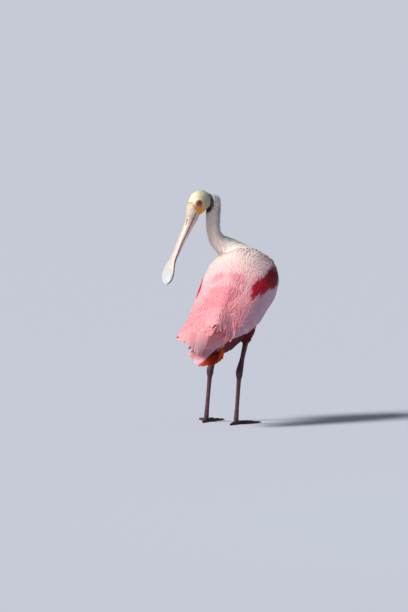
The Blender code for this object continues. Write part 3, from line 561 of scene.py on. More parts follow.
def plume_piece(name, ground, roots, lies, lengths, widths, rises, colours, tips, patches):
    """A coat piece of body feathers that shade from their own colour to that of their tips."""
    rings = lay_plumes(ground, roots, lies, lengths, widths, rises)
    shares = np.array([row[0] for row in PLUME_ROWS])
    shade = np.broadcast_to(step(0.2, 1.0, shares)[None, :, None], rings.shape[:3])
    painted = colours[:, None, None] + (tips - colours)[:, None, None] * shade[..., None]
    maps = plume_maps(patches, shares, np.array([0.0, 0.5, 1.0]))
    points, triangles = lofts(rings)
    return new_piece(name, points, triangles, feather_vane(), painted, maps, 75.0)


def coat_colour(points):
    """The bird's colouring over its body: white neck, blushed mantle, pink back, crimson vent, with
    painted shade on the vent and the hindneck.
    """
    along, above, left = body_terms(points)
    blotch = mottle(points, 34.0)
    colour = mixed(WHITE, CREAM, step(260, 330, along))
    high = points[..., 2]
    mantle = step(305, 255, along) * step(-10, 25, above)
    colour = mixed(colour, MANTLE, 0.9 * mantle)
    yellowed = np.exp(-(((along - 292 + 0.5 * left) / 12) ** 2)) * step(10, 30, above)
    colour = mixed(colour, "eadfb0", 0.45 * yellowed)
    blush = step(235, 165, along) * step(-20, 30, above)
    colour = mixed(colour, PALE_PINK, np.clip(blush + 0.15 * blotch, 0, 1))
    colour = mixed(colour, PINK, 0.75 * step(185, 110, along) * step(-10, 30, above))
    belly = step(0, -35, above) * step(300, 230, along)
    colour = mixed(colour, PALE_PINK, 0.55 * belly)
    # Painted shade: the vent's crimson is its feathers' own colour, darkened, and near black lower
    # down under the body.
    vent = step(176, 126, along + 0.35 * above + 10 * blotch) * step(12, -6, above)
    colour = mixed(colour, "8a1028", vent)
    colour = mixed(colour, "4a0716", 0.85 * vent * step(-8, -36, above + 6 * blotch))
    colour = mixed(colour, ORANGE, step(76, 56, along) * step(-12, 5, above))
    colour = mixed(colour, WHITE, step(318, 345, high))
    # Painted shade: the top of the neck turns grey-blue towards its back, the side turned from the
    # light.
    hind = step(-38, -52, head_terms(points)[0])
    colour = mixed(colour, mixed("ecdccf", "aaa5ad", hind), 0.7 * step(360, 410, high))
    return mixed(colour, "1d181e", 0.95 * band_share(points))


def pale_tips(colours, code, share):
    """Colours of feather tips: mixed with a paler one, but less so where a feather is dark."""
    return mixed(colours, code, share * step(0.12, 0.4, colours[:, 1]))


def jittered(colours, amount):
    """Colours with a small change of brightness for each feather."""
    scale = 1 + amount * chance.standard_normal(colours.shape[:-1])
    return np.clip(colours * scale[..., None], 0, 1)


def staggered(rings, spacing):
    """Places at even spacing over rings of a loft, each row shifted by half a space."""
    rows, around = rings.shape[:2]
    middle = rings.mean(axis=1)
    walk = np.concatenate([[0], np.cumsum(np.linalg.norm(np.diff(middle, axis=0), axis=1))])
    found, shares = [], []
    for number, place in enumerate(np.arange(0, walk[-1], spacing)):
        row = np.interp(place, walk, np.arange(rows))
        low = min(int(row), rows - 2)
        loop = rings[low] + (rings[low + 1] - rings[low]) * (row - low)
        girth = np.linalg.norm(np.roll(loop, -1, 0) - loop, axis=1)
        total = girth.sum()
        number_round = max(int(total / spacing), 3)
        spots = (np.arange(number_round) + 0.5 * (number % 2)) / number_round
        spots = (spots + 0.3 / number_round * chance.standard_normal(number_round)) % 1
        at = np.interp(spots * total, np.concatenate([[0], np.cumsum(girth)]), np.arange(around + 1))
        closed = np.vstack([loop, loop[:1]])
        found.append(np.stack([np.interp(at, np.arange(around + 1), closed[:, k])
                               for k in range(3)], -1))
        shares.append(np.stack([spots, np.full(number_round, row / rows)], -1))
    return np.vstack(found), np.vstack(shares)


def nearby(ground, roots, shares, reach):
    """Only those roots that lie close to the skin, and so not inside another part."""
    _, _, distance = on_skin(ground, roots)
    kept = distance < reach
    return roots[kept], shares[kept]


def turned(lies, normals_hint, spread):
    """Directions swung by a small random angle about a hinted normal."""
    angle = spread * chance.standard_normal(len(lies))[:, None]
    return unit(lies * np.cos(angle) + np.cross(unit(normals_hint), lies) * np.sin(angle))


def make_neck_coat(ground):
    """Short white feathers down the neck, growing longer towards the breast."""
    rings = neck_rings(120, 72, 1.5)
    roots, shares = staggered(rings[34:], 2.3)
    roots, shares = nearby(ground, roots, shares, 3.5)
    path = smooth(NECK, 120)[:, :3]
    near = np.argmin(((roots[:, None] - path[None, ::4]) ** 2).sum(-1), axis=1) * 4
    downward = -np.gradient(path, axis=0)[near]
    lies = turned(unit(downward), roots - path[near], 0.16)
    high = step(345, 425, roots[:, 2])
    lengths = (15.0 - 6.5 * high) * chance.uniform(0.8, 1.2, len(roots))
    widths = 3.3 - 1.1 * high
    nape = step(392, 424, roots[:, 2]) * step(-36, -50, head_terms(roots)[0])
    rises = 0.9 + 2.4 * nape + 0.25 * chance.standard_normal(len(roots))
    colours = jittered(coat_colour(roots), 0.045)
    plume_piece("neck_coat", ground, roots, lies, lengths, widths, rises, colours,
                pale_tips(colours, "fffaf4", 0.35), shares * 0.94 + 0.03)


def make_nape_coat(face):
    """White feathers over the back of the head, behind the black band, down to the neck."""
    rings = head_rings(190, 168, 0.4)
    spots = rings.reshape(-1, 3)
    ahead, above, left = head_terms(spots)
    edge, half = band_place(above)
    bare = np.maximum(ahead - edge + half, -above - 30)
    kept = (bare < -0.5) & (chance.random(len(spots)) < 0.13)
    roots = spots[kept]
    lies = turned(np.tile(unit(-UP - 0.35 * FACING), (len(roots), 1)), roots - HEAD_CENTRE, 0.2)
    lengths = 9.5 * chance.uniform(0.75, 1.2, len(roots))
    rises = 0.5 + 0.25 * chance.standard_normal(len(roots))
    near_band = step(16, 2, (edge - ahead)[kept] - half[kept])
    grey = 0.85 * near_band * step(0.0, 0.7, mottle(roots, 7.0))
    colours = mixed("e9e1dd", "c5bfc6", step(-0.8, 0.8, mottle(roots, 11.0, 3.0)))
    colours = jittered(mixed(colours, "54505a", grey), 0.06)
    patches = np.stack([(ahead[kept] + 60) / 60, (above[kept] + 60) / 120], -1)
    plume_piece("nape_coat", face, roots, lies, lengths, np.full(len(roots), 2.0), rises, colours,
                pale_tips(colours, "fbf6f2", 0.35), patches)


def make_body_coat(ground):
    """Feathers of breast, belly, back and rump, which lie back along the body."""
    rings = axis_rings(TORSO, 120, 96, 2.0)
    roots, shares = staggered(rings[4:-2], 4.1)
    roots, shares = nearby(ground, roots, shares, 3.0)
    along, above, left = body_terms(roots)
    fan = left[:, None] / 60 * LEFT * 0.12
    lies = turned(unit(-FORWARD + fan), roots - TAIL_TIP, 0.13)
    lengths = (20 + 8 * step(250, 120, along) + 8 * step(110, 70, along)
               - 5 * step(290, 325, along)) * chance.uniform(0.85, 1.15, len(roots))
    widths = lengths * 0.22
    rises = 1.5 + 0.6 * chance.standard_normal(len(roots))
    colours = jittered(coat_colour(roots), 0.05)
    plume_piece("body_coat", ground, roots, lies, lengths, widths, rises, colours,
                pale_tips(colours, "ffe9e4", 0.25), shares * 0.94 + 0.03)


def make_breast_coat(ground):
    """Feathers where the neck widens into the breast and the shoulders."""
    roots, shares = staggered(neck_rings(120, 72, 1.5)[6:38], 3.2)
    roots, shares = nearby(ground, roots, shares, 4.0)
    path = smooth(NECK, 120)[:, :3]
    near = np.argmin(((roots[:, None] - path[None, ::4]) ** 2).sum(-1), axis=1) * 4
    downward = unit(-np.gradient(path, axis=0)[near])
    lies = turned(unit(downward + 0.5 * -FORWARD), roots - path[near], 0.15)
    lengths = 19 * chance.uniform(0.85, 1.15, len(roots))
    rises = 1.4 + 0.5 * chance.standard_normal(len(roots))
    colours = jittered(coat_colour(roots), 0.03)
    plume_piece("breast_coat", ground, roots, lies, lengths, 0.22 * lengths, rises, colours,
                mixed(colours, "fffaf2", np.full(len(roots), 0.3)), shares * 0.94 + 0.03)


def make_thigh_coats(ground):
    """Loose crimson feathers that hang down the thighs to the bare shins, darkened low down as
    painted shade.
    """
    for side in SIDES:
        rows = thigh_rows(side)
        roots, shares = staggered(path_rings(rows, LEFT, 40, 2.0)[5:], 2.8)
        roots, shares = nearby(ground, roots, shares, 3.0)
        axis = unit(rows[-1, :3] - rows[0, :3])
        lies = turned(np.tile(axis, (len(roots), 1)), roots - rows[12, :3], 0.16)
        low = step(210, 182, roots[:, 2])
        lengths = (17 - 6 * low) * chance.uniform(0.8, 1.2, len(roots))
        rises = 1.3 + 0.5 * chance.standard_normal(len(roots))
        red = mixed("d98c9c", "94122c", step(236, 214, roots[:, 2] + 4 * mottle(roots, 20.0)))
        # Painted shade: the lower thigh feathers darken to near-black maroon under the body.
        red = jittered(mixed(red, "4c0818", 0.85 * low), 0.08)
        plume_piece("thigh_coat_" + side, ground, roots, lies, lengths, 0.2 * lengths, rises, red,
                    mixed(red, "a0152e", np.full(len(roots), 0.25)), shares * 0.94 + 0.03)


# A long feather: share of its length, of its half width, and of its rise from root to tip.
VANE_ROWS = ((0, 0.35, 0), (0.12, 0.7, 0.2), (0.3, 0.92, 0.5), (0.5, 1, 0.75), (0.7, 1, 0.92),
             (0.85, 0.9, 1), (0.94, 0.66, 1), (0.985, 0.34, 1), (1, 0.08, 1))
VANE_COLUMNS = np.array([-1, -0.55, 0, 0.55, 1])
# A soft covert, in the same terms.
COVERT_ROWS = ((0, 0.4, 0), (0.3, 0.9, 0.45), (0.65, 1, 0.85), (0.88, 0.62, 1), (1, 0.08, 1.05))
COVERT_COLUMNS = np.array([-1.0, 0.0, 1.0])


def lay_vanes(place, side, roots, tips, halves, heights, lap, rows, columns):
    """Long feathers on a surface, each a flat ribbon from root to tip with rounded end.

    The height over the surface goes from that of the root to that of the tip, plus a dome of
    1 - column^2, plus a tilt of one lap for each neighbour that it covers.
    """
    share, width, rising = (np.array(rows)[None, :, k, None] for k in range(3))
    along = roots[:, 0, None, None] + (tips - roots)[:, 0, None, None] * share
    across = roots[:, 1, None, None] + (tips - roots)[:, 1, None, None] * share
    scale = surface_frame(place, side, along, across)[2]
    spots = across + columns * halves[:, None, None] * width / scale
    spots = np.clip(spots, -0.02, 1.02)
    here, normal, _ = surface_frame(place, side, along + 0 * spots, spots)
    height = heights[:, 0, None, None] * (1 - rising) + heights[:, 1, None, None] * rising
    dome = np.minimum(0.35, 0.07 * halves)[:, None, None] * (1 - columns**2)
    height = height - columns * lap * width + dome
    thick = (0.10 + np.minimum(0.25, 0.05 * halves)[:, None, None] * (1 - columns**2)
             * (1 - 0.6 * share))[..., None]
    middle = here + height[..., None] * normal
    return np.concatenate([middle + thick * normal, (middle - thick * normal)[:, :, ::-1]], 2)


def vane_piece(name, place, side, roots, tips, halves, heights, lap, colours, ends,
               rows=VANE_ROWS, columns=VANE_COLUMNS):
    """A coat piece of long feathers, paler or darker towards their ends."""
    rings = lay_vanes(place, side, roots, tips, halves, heights, lap, rows, columns)
    shares = np.array(rows)[:, 0]
    shade = step(0.35, 1.0, shares)[None, :, None, None]
    painted = colours[:, None, None] + (ends - colours)[:, None, None] * shade
    painted = np.broadcast_to(painted, rings.shape)
    patches = np.stack([roots[:, 1] * 0.9 + 0.05, (roots[:, 0] + 60) / 420], -1)
    marks = (columns + 1) / 2
    maps = plume_maps(patches, shares, np.concatenate([marks, marks[::-1]]))
    points, triangles = lofts(rings)
    return new_piece(name, points, triangles, feather_vane(), painted, maps, 60.0)


def wing_colour(along, across):
    """The folded wing's colours and the share of crimson.

    The shoulder is blushed white, the rest pink with paler and deeper streaks; painted shade turns
    the lower flank mauve. The crimson patch has a ragged edge, and painted shade darkens its end
    towards the shoulder to maroon.
    """
    spot = np.stack([along, MARK_SCALE * across, 0 * along], -1)
    blotch, fine = mottle(spot, 52.0), mottle(spot * np.array([0.35, 1.0, 1.0]), 15.0, 3.0)
    colour = mixed(MANTLE, PALE_PINK, step(250, 196, along + 20 * (0.5 - across) + 8 * fine))
    colour = mixed(colour, PINK, step(218, 118, along + 18 * blotch + 10 * fine))
    pale = np.clip(0.6 * blotch + 0.5 * fine, 0, 1) * step(190, 120, along)
    colour = mixed(colour, PALE_PINK, 0.8 * pale)
    streak = np.min([off_line(along, MARK_SCALE * across, line) for line in DEEP_STREAKS], axis=0)
    colour = mixed(colour, DEEP_PINK, 0.75 * step(9.0, 2.0, streak + 3 * fine))
    colour = mixed(colour, DEEP_PINK, 0.5 * np.clip(fine - 0.1, 0, 1) * step(230, 150, along))
    # Painted shade: below this edge the flank turns mauve, the side turned from the light.
    edge = np.interp(along, *zip(*SIDE_SHADE_EDGE)) + 0.05 * fine
    colour = mixed(colour, SHADED_FLANK, 0.8 * step(0.10, -0.14, across - edge))
    off = off_outline(along, MARK_SCALE * across, PATCH_OUTLINE) + 5 * fine + 3 * blotch
    bar = step(5, -5, off)
    # Painted shade: the patch darkens to maroon towards the shoulder, the end turned from the light.
    red = mixed(CRIMSON, SHADED_CRIMSON, 0.8 * step(200, 244, along + 10 * fine))
    return mixed(colour, red, bar), bar


def make_wing_vanes(side):
    """Flight feathers, tertials and the greater coverts, tier over tier."""
    for name, sizes in TIERS[side].items():
        count, root_along, tip_along, root_span, tip_span, half, heights = sizes
        share = np.linspace(0, 1, count)
        roots = np.stack([np.interp(share, (0, 1), root_along),
                          np.interp(share, (0, 1), root_span)], -1)
        tips = np.stack([np.interp(share, (0, 1), tip_along),
                         np.interp(share, (0, 1), tip_span)], -1)
        tips += np.stack([2.2 * chance.standard_normal(count),
                          0.006 * chance.standard_normal(count)], -1)
        middle = 0.4 * roots + 0.6 * tips
        colours, _ = wing_colour(middle[:, 0], middle[:, 1])
        colours = jittered(colours, 0.04)
        # Partly painted light: the pale ends are the feathers' own fringes, made paler to lift the
        # shade on these low-lying feathers.
        ends = mixed(colours, "fbd3d3", np.full(count, 0.45))
        levels = np.tile(np.array(heights), (count, 1))
        levels[:, 1] += 0.25 * chance.standard_normal(count)
        vane_piece(f"wing_{side}_{name}", feather_place, side, roots, tips,
                   half * chance.uniform(0.94, 1.08, count), levels, 0.9, colours, ends)


def make_soft_coverts(side, name, alongs, gap):
    """Narrow soft feathers in close rows over the wing, each row laid over the one behind it.

    Their rows stand at the given places along the axis, gap millimetres apart across it. They
    grow from 22 mm at the shoulder to 50 mm over the long feathers, and sink towards those.
    """
    roots, tips, halves = [], [], []
    for number, along in enumerate(alongs):
        count = int(np.interp(along, (40, 110, 250, 306), (110, 190, 190, 110)) / gap)
        spots = (np.arange(count) + 0.5 * (number % 2) + 0.25) / count
        spots = spots + 0.3 / count * chance.standard_normal(count)
        length = np.interp(along, (60, 150, 306), (50, 44, 24)) * chance.uniform(0.75, 1.25, count)
        starts = along + 2.5 * chance.standard_normal(count)
        drift = (0.06 * length / 190) * chance.standard_normal(count) + 0.02 * (0.5 - spots)
        roots.append(np.stack([starts, spots], -1))
        tips.append(np.stack([starts - length, spots + drift], -1))
        halves.append(np.interp(along, (60, 306), (3.5, 2.5)) * chance.uniform(0.8, 1.2, count))
    roots, tips, halves = np.vstack(roots), np.vstack(tips), np.concatenate(halves)
    at = 0.15 * roots + 0.85 * tips
    shift = 0.05 if side == "left" else 0.0
    colours, bar = wing_colour(at[:, 0] + 5 * chance.standard_normal(len(at)), at[:, 1] + shift)
    ends = mixed(jittered(colours, 0.02), "ffd9d6", np.where(bar > 0.3, 0.0, 0.15))
    level = np.interp(tips[:, 0], (6, 24, 60, 110, 200, 270), (-5.9, -4.6, -3.2, 0.0, 0.6, 2.4))
    noise = np.clip(0.09 * chance.standard_normal(len(roots)), -0.2, 0.2)
    levels = np.stack([level - 1.5 - 5.0 * step(284, 304, roots[:, 0]), level + noise], -1)
    vane_piece(f"wing_{side}_{name}", feather_place, side, roots, tips, halves, levels, 0.0,
               jittered(colours, 0.035), ends, COVERT_ROWS, COVERT_COLUMNS)


def make_scapulars():
    """Long soft feathers from the mantle back over the seam between the wings."""
    roots, tips = [], []
    for number, along in enumerate(np.arange(304, 92, -6.0)):
        count = 28
        spots = (np.arange(count) + 0.5 * (number % 2) + 0.25) / count - 0.5
        spots = spots + 0.012 * chance.standard_normal(count)
        spots = np.interp(along, (60, 150, 300), (0.30, 0.42, 0.5)) + spots * np.interp(
            along, (60, 150, 300), (0.60, 0.80, 0.95))
        length = np.interp(along, (118, 296), (52, 34)) * chance.uniform(0.8, 1.2, count)
        drift = 0.06 * (spots - 0.5) + 0.02 * chance.standard_normal(count)
        roots.append(np.stack([np.full(count, along), spots], -1))
        tips.append(np.stack([along - length, spots + drift], -1))
    roots, tips = np.vstack(roots), np.vstack(tips)
    count = len(roots)
    along = 0.2 * roots[:, 0] + 0.8 * tips[:, 0]
    share = 0.93 + 0.14 * np.abs(roots[:, 1] - 0.5)
    colours, _ = wing_colour(along, share)
    colours = jittered(mixed(colours, MANTLE, 0.6 * step(205, 262, along)), 0.05)
    level = np.interp(tips[:, 0], (10, 80, 140, 240), (-3.5, -1.0, 0.4, 1.5))
    centre = np.interp(roots[:, 0], (60, 150, 300), (0.30, 0.42, 0.5))
    level = level + 1.0 - 8.0 * (roots[:, 1] - centre) ** 2
    noise = np.clip(0.1 * chance.standard_normal(count), -0.2, 0.2)
    levels = np.stack([level - 1.5 - 5.0 * step(284, 304, roots[:, 0]), level + noise], -1)
    vane_piece("scapulars", back_place, "left", roots, tips,
               np.interp(along, (60, 270), (4.0, 3.3)) * chance.uniform(0.8, 1.2, count), levels,
               0.0, colours, mixed(colours, "ffe6e0", np.full(count, 0.15)),
               COVERT_ROWS, COVERT_COLUMNS)


def make_tail():
    """Twelve tail feathers, fanned: dark red at heart, orange at the ends and the right edge; the
    dark heart is partly painted shade and the bright right edge partly a painted highlight.

    Those of the right side are shorter, as they are folded under.
    """
    across = np.linspace(0.05, 0.95, TAIL_FEATHERS)
    aside = 2 * across - 1
    roots = np.stack([np.full(TAIL_FEATHERS, 66.0), 0.503 + aside * 0.4], -1)
    ends = np.interp(across, (0.05, 0.15, 0.3, 0.45, 1.0), (20.0, 8.0, 0.0, -5.0, -3.0))
    tips = np.stack([ends + 1.6 * np.sin(5.0 * across * TAIL_FEATHERS), across], -1)
    levels = np.stack([-1.5 + 0 * aside, 0.6 - 1.4 * np.abs(aside)], -1)
    # Painted light and shade: the dark red heart is partly painted shade, and the orange right edge
    # partly a painted sunlit highlight.
    edge = step(0.30, 0.14, across)
    colours = jittered(mixed("5c0509", ORANGE, edge), 0.06)
    vane_piece("tail_feathers", tail_place, "left", roots, tips, np.full(TAIL_FEATHERS, 4.6),
               levels, 0.25, colours, mixed("b53a14", ORANGE, edge))


def band_place(above):
    """How far ahead the black band lies at a height of the head, and its half width."""
    height, ahead, half = zip(*BAND)
    return np.interp(above, height, ahead), np.interp(above, height, half)


def band_share(points):
    """The share of black at each point: the band, with ragged and speckled edges."""
    ahead, above, _ = head_terms(points)
    middle, half = band_place(above)
    ragged = 1.5 * mottle(points, 2.8, 4.0) + 1.2 * mottle(points, 9.0, 2.0)
    across = step(1.3, -1.3, np.abs(ahead - middle) - half + ragged)
    return across * step(-29, -24, above) * step(26, 22, above)


def horn_share(ahead, above):
    """The shares of the upper and of the lower bill's horn on the front of the face."""
    upper = step(-0.8, 0.8, ahead - np.interp(above, *zip(*HORN_EDGE))) * step(2.2, 0.4, above)
    under = step(-0.8, 0.8, ahead - np.interp(above, *zip(*LOWER_HORN_EDGE)))
    return upper, under * step(-15.5, -18.0, above)


def head_colour(points):
    """Bare skin: cream crown, greener cheek, orange face, horn front and the black band, with painted
    shade on the back of the head and partly in the mouth line.
    """
    ahead, above, left = head_terms(points)
    blotch, speckle = mottle(points, 9.0, 2.0), mottle(points, 2.8, 4.0)
    colour = mixed("e6dfc0", "adae90", step(5, -17, ahead + 4 * blotch))
    colour = mixed(colour, "b4ab74", 0.6 * np.exp(-((ahead + 14) / 7) ** 2 - (above / 6) ** 2))
    # Painted shade: the back of the head darkens to grey-green, the side turned from the light.
    colour = mixed(colour, "8f9078", 0.5 * step(-19, -26, ahead + 3 * blotch))
    cheek = step(1.0, -1.0, off_outline(ahead, above, CHEEK) + 0.8 * blotch + 0.4 * speckle)
    orange = mixed("ea9420", "dea01c", step(-8, -20, above + 3 * blotch))
    orange = mixed(orange, "cc5a22", 0.7 * step(6, 10, ahead) * step(-9, -3, above))
    colour = mixed(colour, orange, cheek)
    stripe = step(10.5, 12.5, ahead) * np.exp(-(((above - 2.9) / 2.0) ** 4))
    colour = mixed(colour, "c68a2c", 0.9 * stripe)
    lores = np.exp(-(((ahead - 10.5) / 2.6) ** 2 + ((above + 1.2) / 2.2) ** 2))
    colour = mixed(colour, "b9492a", 0.75 * lores)
    upper, under = horn_share(ahead, above)
    ridge = 0.5 + 0.5 * np.sin(ridge_turn(ahead, above) + 0.7 * blotch)
    horn = mixed(mixed("dfd3c6", "baa28e", 0.6 * ridge), "e6d0c0", under)
    tick = step(0.55, 0.9, np.sin(2 * ridge_turn(ahead, 1.6 * above))) * under
    horn = mixed(horn, "6f4d3e", 0.75 * tick)
    colour = mixed(colour, horn, np.maximum(upper, under))
    rim = np.hypot((ahead - EYE_PLACE[0]) / 1.1, above - EYE_PLACE[1])
    around = mixed("857e70", "b8692c", step(-3, 3, above - EYE_PLACE[1]))
    colour = mixed(colour, around, 0.75 * step(8.6, 6.6, rim))
    # Partly painted shade: the mouth line's groove is painted dark red-brown, its own colour together
    # with the shade in the crease.
    crease = off_line(above, ahead, MOUTH_LINE) + 20 * (above < -30)
    colour = mixed(colour, "4c261d", 0.9 * step(1.1, 0.4, crease))
    colour = mixed(colour, "d8cfce", step(1, -2, ahead - band_place(above)[0]))
    fleck = 0.5 + 0.5 * np.sin(3 * speckle)
    return mixed(colour, mixed("17131a", "453b39", 0.5 * fleck), 0.97 * band_share(points))


def ridge_turn(ahead, above):
    """The turn of the wave that draws the cross ridges down the horn of the face."""
    return 2 * np.pi * (0.93 * above - 0.36 * ahead) / RIDGE_PITCH


def make_head_skin():
    """The bare head: a loft along the skull, pushed in and out along rays from its middle line.

    Bumps are Gaussian hills and grooves in the head's own terms: brow, cheek, ear, mouth line,
    the folds of the pouch and the ridges of the horn. Round the eye the skin meets the lids.
    """
    rings = head_rings(190, 168, 0.25)
    outward = unit(rings - rings.mean(axis=1, keepdims=True))
    ahead, above, left = head_terms(rings)
    side_share = step(6, 11, np.abs(left))
    blotch = mottle(rings, 9.0, 2.0)
    push = -0.9 * np.exp(-(((ahead - 5) / 5) ** 2 + ((above + 9) / 4) ** 2)) * side_share
    push += 0.8 * np.exp(-(((ahead + 1) / 7) ** 2 + ((above - 10.5) / 2.4) ** 2)) * side_share
    push -= 1.1 * np.exp(-(((ahead + 20) / 2.0) ** 2 + ((above + 7) / 2.4) ** 2)) * side_share
    push += 0.5 * np.exp(-(((ahead + 20) / 4.0) ** 2 + ((above + 7) / 4.4) ** 2)) * side_share
    crease = off_line(above, ahead, MOUTH_LINE) + 20 * (above < -30)
    push -= 1.2 * np.exp(-((crease / 0.7) ** 2)) * step(7, 10, np.abs(left))
    folds = np.sin(2 * np.pi * (ahead * 0.75 - above * 0.5) / 3.4 + 1.2 * mottle(rings, 14.0))
    push += 0.25 * folds * step(-12, -20, above) * step(8, 2, ahead)
    upper, under = horn_share(ahead, above)
    push += (0.1 + 0.34 * np.sin(ridge_turn(ahead, above) + 0.7 * blotch)) * upper
    push += 0.5 * under + 1.2 * step(12, 22, above) * step(-30, -22, ahead)
    bare = 1 - np.maximum(upper, under)
    push += bare * (0.22 * mottle(rings, 4.6) + 0.13 * mottle(rings, 2.4, 5.0))
    rings = rings + outward * push[..., None]
    around_eye = np.hypot((ahead - EYE_PLACE[0]) / LID_LENGTH, (above - EYE_PLACE[1]) / LID_HEIGHT)
    rim = step(1.9, 1.1, around_eye) * (LID_OUT - 0.2 - np.abs(left))
    socket = step(0.98, 0.80, around_eye) * 7.0
    shift = (0.9 * rim - socket) * (np.abs(left) > 6) * np.sign(left)
    rings = rings + shift[..., None] * HEAD_LEFT
    painted = head_colour(rings)
    across, along = np.meshgrid(np.linspace(0, 1, 168), np.linspace(0, 1, 190))
    points, triangles = lofts(rings[None])
    made = new_piece("head_skin", points, triangles, bare_skin(), painted,
                     {"OFBake": np.stack([across, along], -1) * 0.94 + 0.03})
    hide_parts("head", "neck_upper", "neck_lower", "torso", "thigh_left", "thigh_right")
    return BVHTree.FromPolygons(points.tolist(), triangles.tolist())


def make_eyes():
    """Eyeballs whose Gaze attribute is the angle from the middle of the pupil, and lid rims."""
    for side, sign in SIDES.items():
        polar, turn = np.meshgrid(np.linspace(0.01, np.pi - 0.01, 48),
                                  np.linspace(0, 2 * np.pi, 64, endpoint=False), indexing="ij")
        axis, first, second = sign * HEAD_LEFT, FACING, UP
        direction = (np.cos(polar)[..., None] * axis
                     + (np.sin(polar) * np.cos(turn))[..., None] * first
                     + (np.sin(polar) * np.sin(turn))[..., None] * second)
        bulge = 1 + 0.05 * step(0.9, 0.2, polar)
        centre = head_place(*EYE_PLACE[:2], sign * EYE_PLACE[2])
        rings = centre + EYE_RADIUS * (direction * bulge[..., None])
        points, triangles = lofts(rings[None])
        made = new_piece("eye_" + side + "_ball", points, triangles, wet_eye())
        gaze = made.data.attributes.new("Gaze", "FLOAT", "POINT")
        gaze.data.foreach_set("value", polar.ravel().astype(np.float32))
        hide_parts("eye_" + side)
        make_lids(side, sign)


def make_lids(side, sign):
    """Two thin lids as one rim: an oval hoop, thicker above, whose fold casts a little shade."""
    turn = np.linspace(0, 2 * np.pi, 96)
    around = np.linspace(0, 2 * np.pi, 16, endpoint=False)
    ahead = EYE_PLACE[0] + LID_LENGTH * np.cos(turn)
    above = EYE_PLACE[1] + LID_HEIGHT * np.sin(turn)
    outward = np.cos(turn)[:, None] * FACING + np.sin(turn)[:, None] * UP
    middle = head_place(ahead, above, sign * (LID_OUT + 0.1 * np.sin(turn)))
    thick = 0.55 + 0.12 * np.sin(turn) + 0.05 * np.sin(11 * turn)
    rings = (middle[:, None] + (thick[:, None] * np.cos(around))[..., None] * outward[:, None]
             + (1.2 * thick[:, None] * np.sin(around))[..., None] * sign * HEAD_LEFT)
    share = step(-3, 3, head_terms(rings)[1] - EYE_PLACE[1] + mottle(rings, 3.0))
    points, triangles = lofts(rings[None])
    new_piece("lids_" + side, points, triangles, bare_skin(),
              mixed("8d8273", "c46a2a", share))


def bill_rings(name, rows, arch):
    """One half of the bill: an arch over a flat face, along the bill's curve.

    The arch is height * sin^rise_power up and half width * cos^level_power across. It carries
    the groove beside its edge, the cross ridges of the root, and a low rim round the spoon.
    """
    sign = 1 if name == "upper" else -1
    rise_power, level_power = ARCH_POWERS[name]
    read = smooth(BILL, rows)
    slope = np.gradient(read[:, :2], axis=0)
    slope[0] = np.cos(np.radians(HEAD[-1][2])), np.sin(np.radians(HEAD[-1][2]))
    slope = unit(slope)
    dorsal = -slope[:, 1:] * FACING + slope[:, :1] * UP
    centre = head_place(read[:, 0], read[:, 1])
    height = read[:, 3] if sign > 0 else read[:, 4]
    angle = np.linspace(0, np.pi, arch)
    share = np.linspace(0, 1, rows)[:, None]
    lift = height[:, None] * np.sin(angle) ** rise_power
    groove = np.exp(-((np.sin(angle) - 0.42) / 0.07) ** 2) * step(0.03, 0.1, share)
    lift = lift - 0.42 * groove * step(1.0, 0.93, share)
    ridges = np.sin(ridge_turn(read[:, :1], read[:, 1:2]) + 0.5 * np.cos(3 * angle))
    lift = lift + 0.34 * ridges * step(0.20, 0.06, share) * np.sin(angle) ** 2
    flat = step(0.60, 0.72, share) * step(1.0, 0.95, share)
    lift = lift + 0.35 * flat * np.exp(-((np.sin(angle) - 0.2) / 0.10) ** 2)
    level = np.sign(np.cos(angle)) * np.abs(np.cos(angle)) ** level_power
    arch_points = (centre[:, None] + (read[:, 2:3] * level)[..., None] * HEAD_LEFT
                   + ((lift + 0.12) * sign)[..., None] * dorsal[:, None])
    flat_across = read[:, 2:3] * np.linspace(-1, 1, arch)[1:-1] * 0.98
    floor = (centre[:, None] + flat_across[..., None] * HEAD_LEFT
             + 0.10 * sign * dorsal[:, None])
    off_edge = np.concatenate([lift, np.zeros((rows, arch - 2))], 1)
    return np.concatenate([arch_points, floor], 1), share, off_edge


def bill_colour(name, share, off_edge, points):
    """Horn: pinkish at the base, greyer on the spoon, red-brown where the halves meet. Painted shade
    widens that red-brown over the gap and darkens the side groove, and painted light pales the
    lower half towards its root.
    """
    height = off_edge / off_edge.max(axis=1, keepdims=True)
    ahead, above, _ = head_terms(points)
    blotch = mottle(points, 17.0, 1.0)
    colour = mixed("dfcdbf", "d2cac3", step(0.12, 0.5, share + 0 * height))
    colour = mixed(colour, "ced3da", step(0.55, 0.85, share + 0.05 * blotch))
    colour = mixed(colour, "aaa198", 0.3 * step(0.1, 0.8, blotch) * step(0.05, 0.25, share))
    wave = ridge_turn(ahead, above)
    if name == "upper":
        ridge = (0.5 + 0.5 * np.sin(wave)) * step(0.20, 0.04, share)
        colour = mixed(colour, "b58e6c", 0.55 * ridge)
    else:
        # Painted light: the lower half is paler towards its root, to lift the shade on its downturned
        # side.
        colour = mixed(colour, "f2e4da", 0.7 * step(0.60, 0.3, share + 0 * height))
        tick = step(0.4, 0.85, np.sin(1.5 * wave + 4 * height)) * step(0.95, 0.7, height)
        colour = mixed(colour, "5e3f35", 0.7 * tick * step(0.14, 0.08, share))
    # Partly painted shade: the red-brown edges where the halves meet are widened to stand for the
    # shade in the gap between them.
    reach = 1.15 if name == "upper" else 0.7
    colour = mixed(colour, "5f2a20", 0.92 * step(reach + 0.4, reach - 0.4, off_edge))
    # Painted shade: a grey-brown line down the groove on each side.
    line = np.exp(-((height - 0.5) / 0.06) ** 2) * step(0.05, 0.15, share) * step(0.95, 0.8, share)
    return mixed(colour, "8a7868", 0.3 * line)


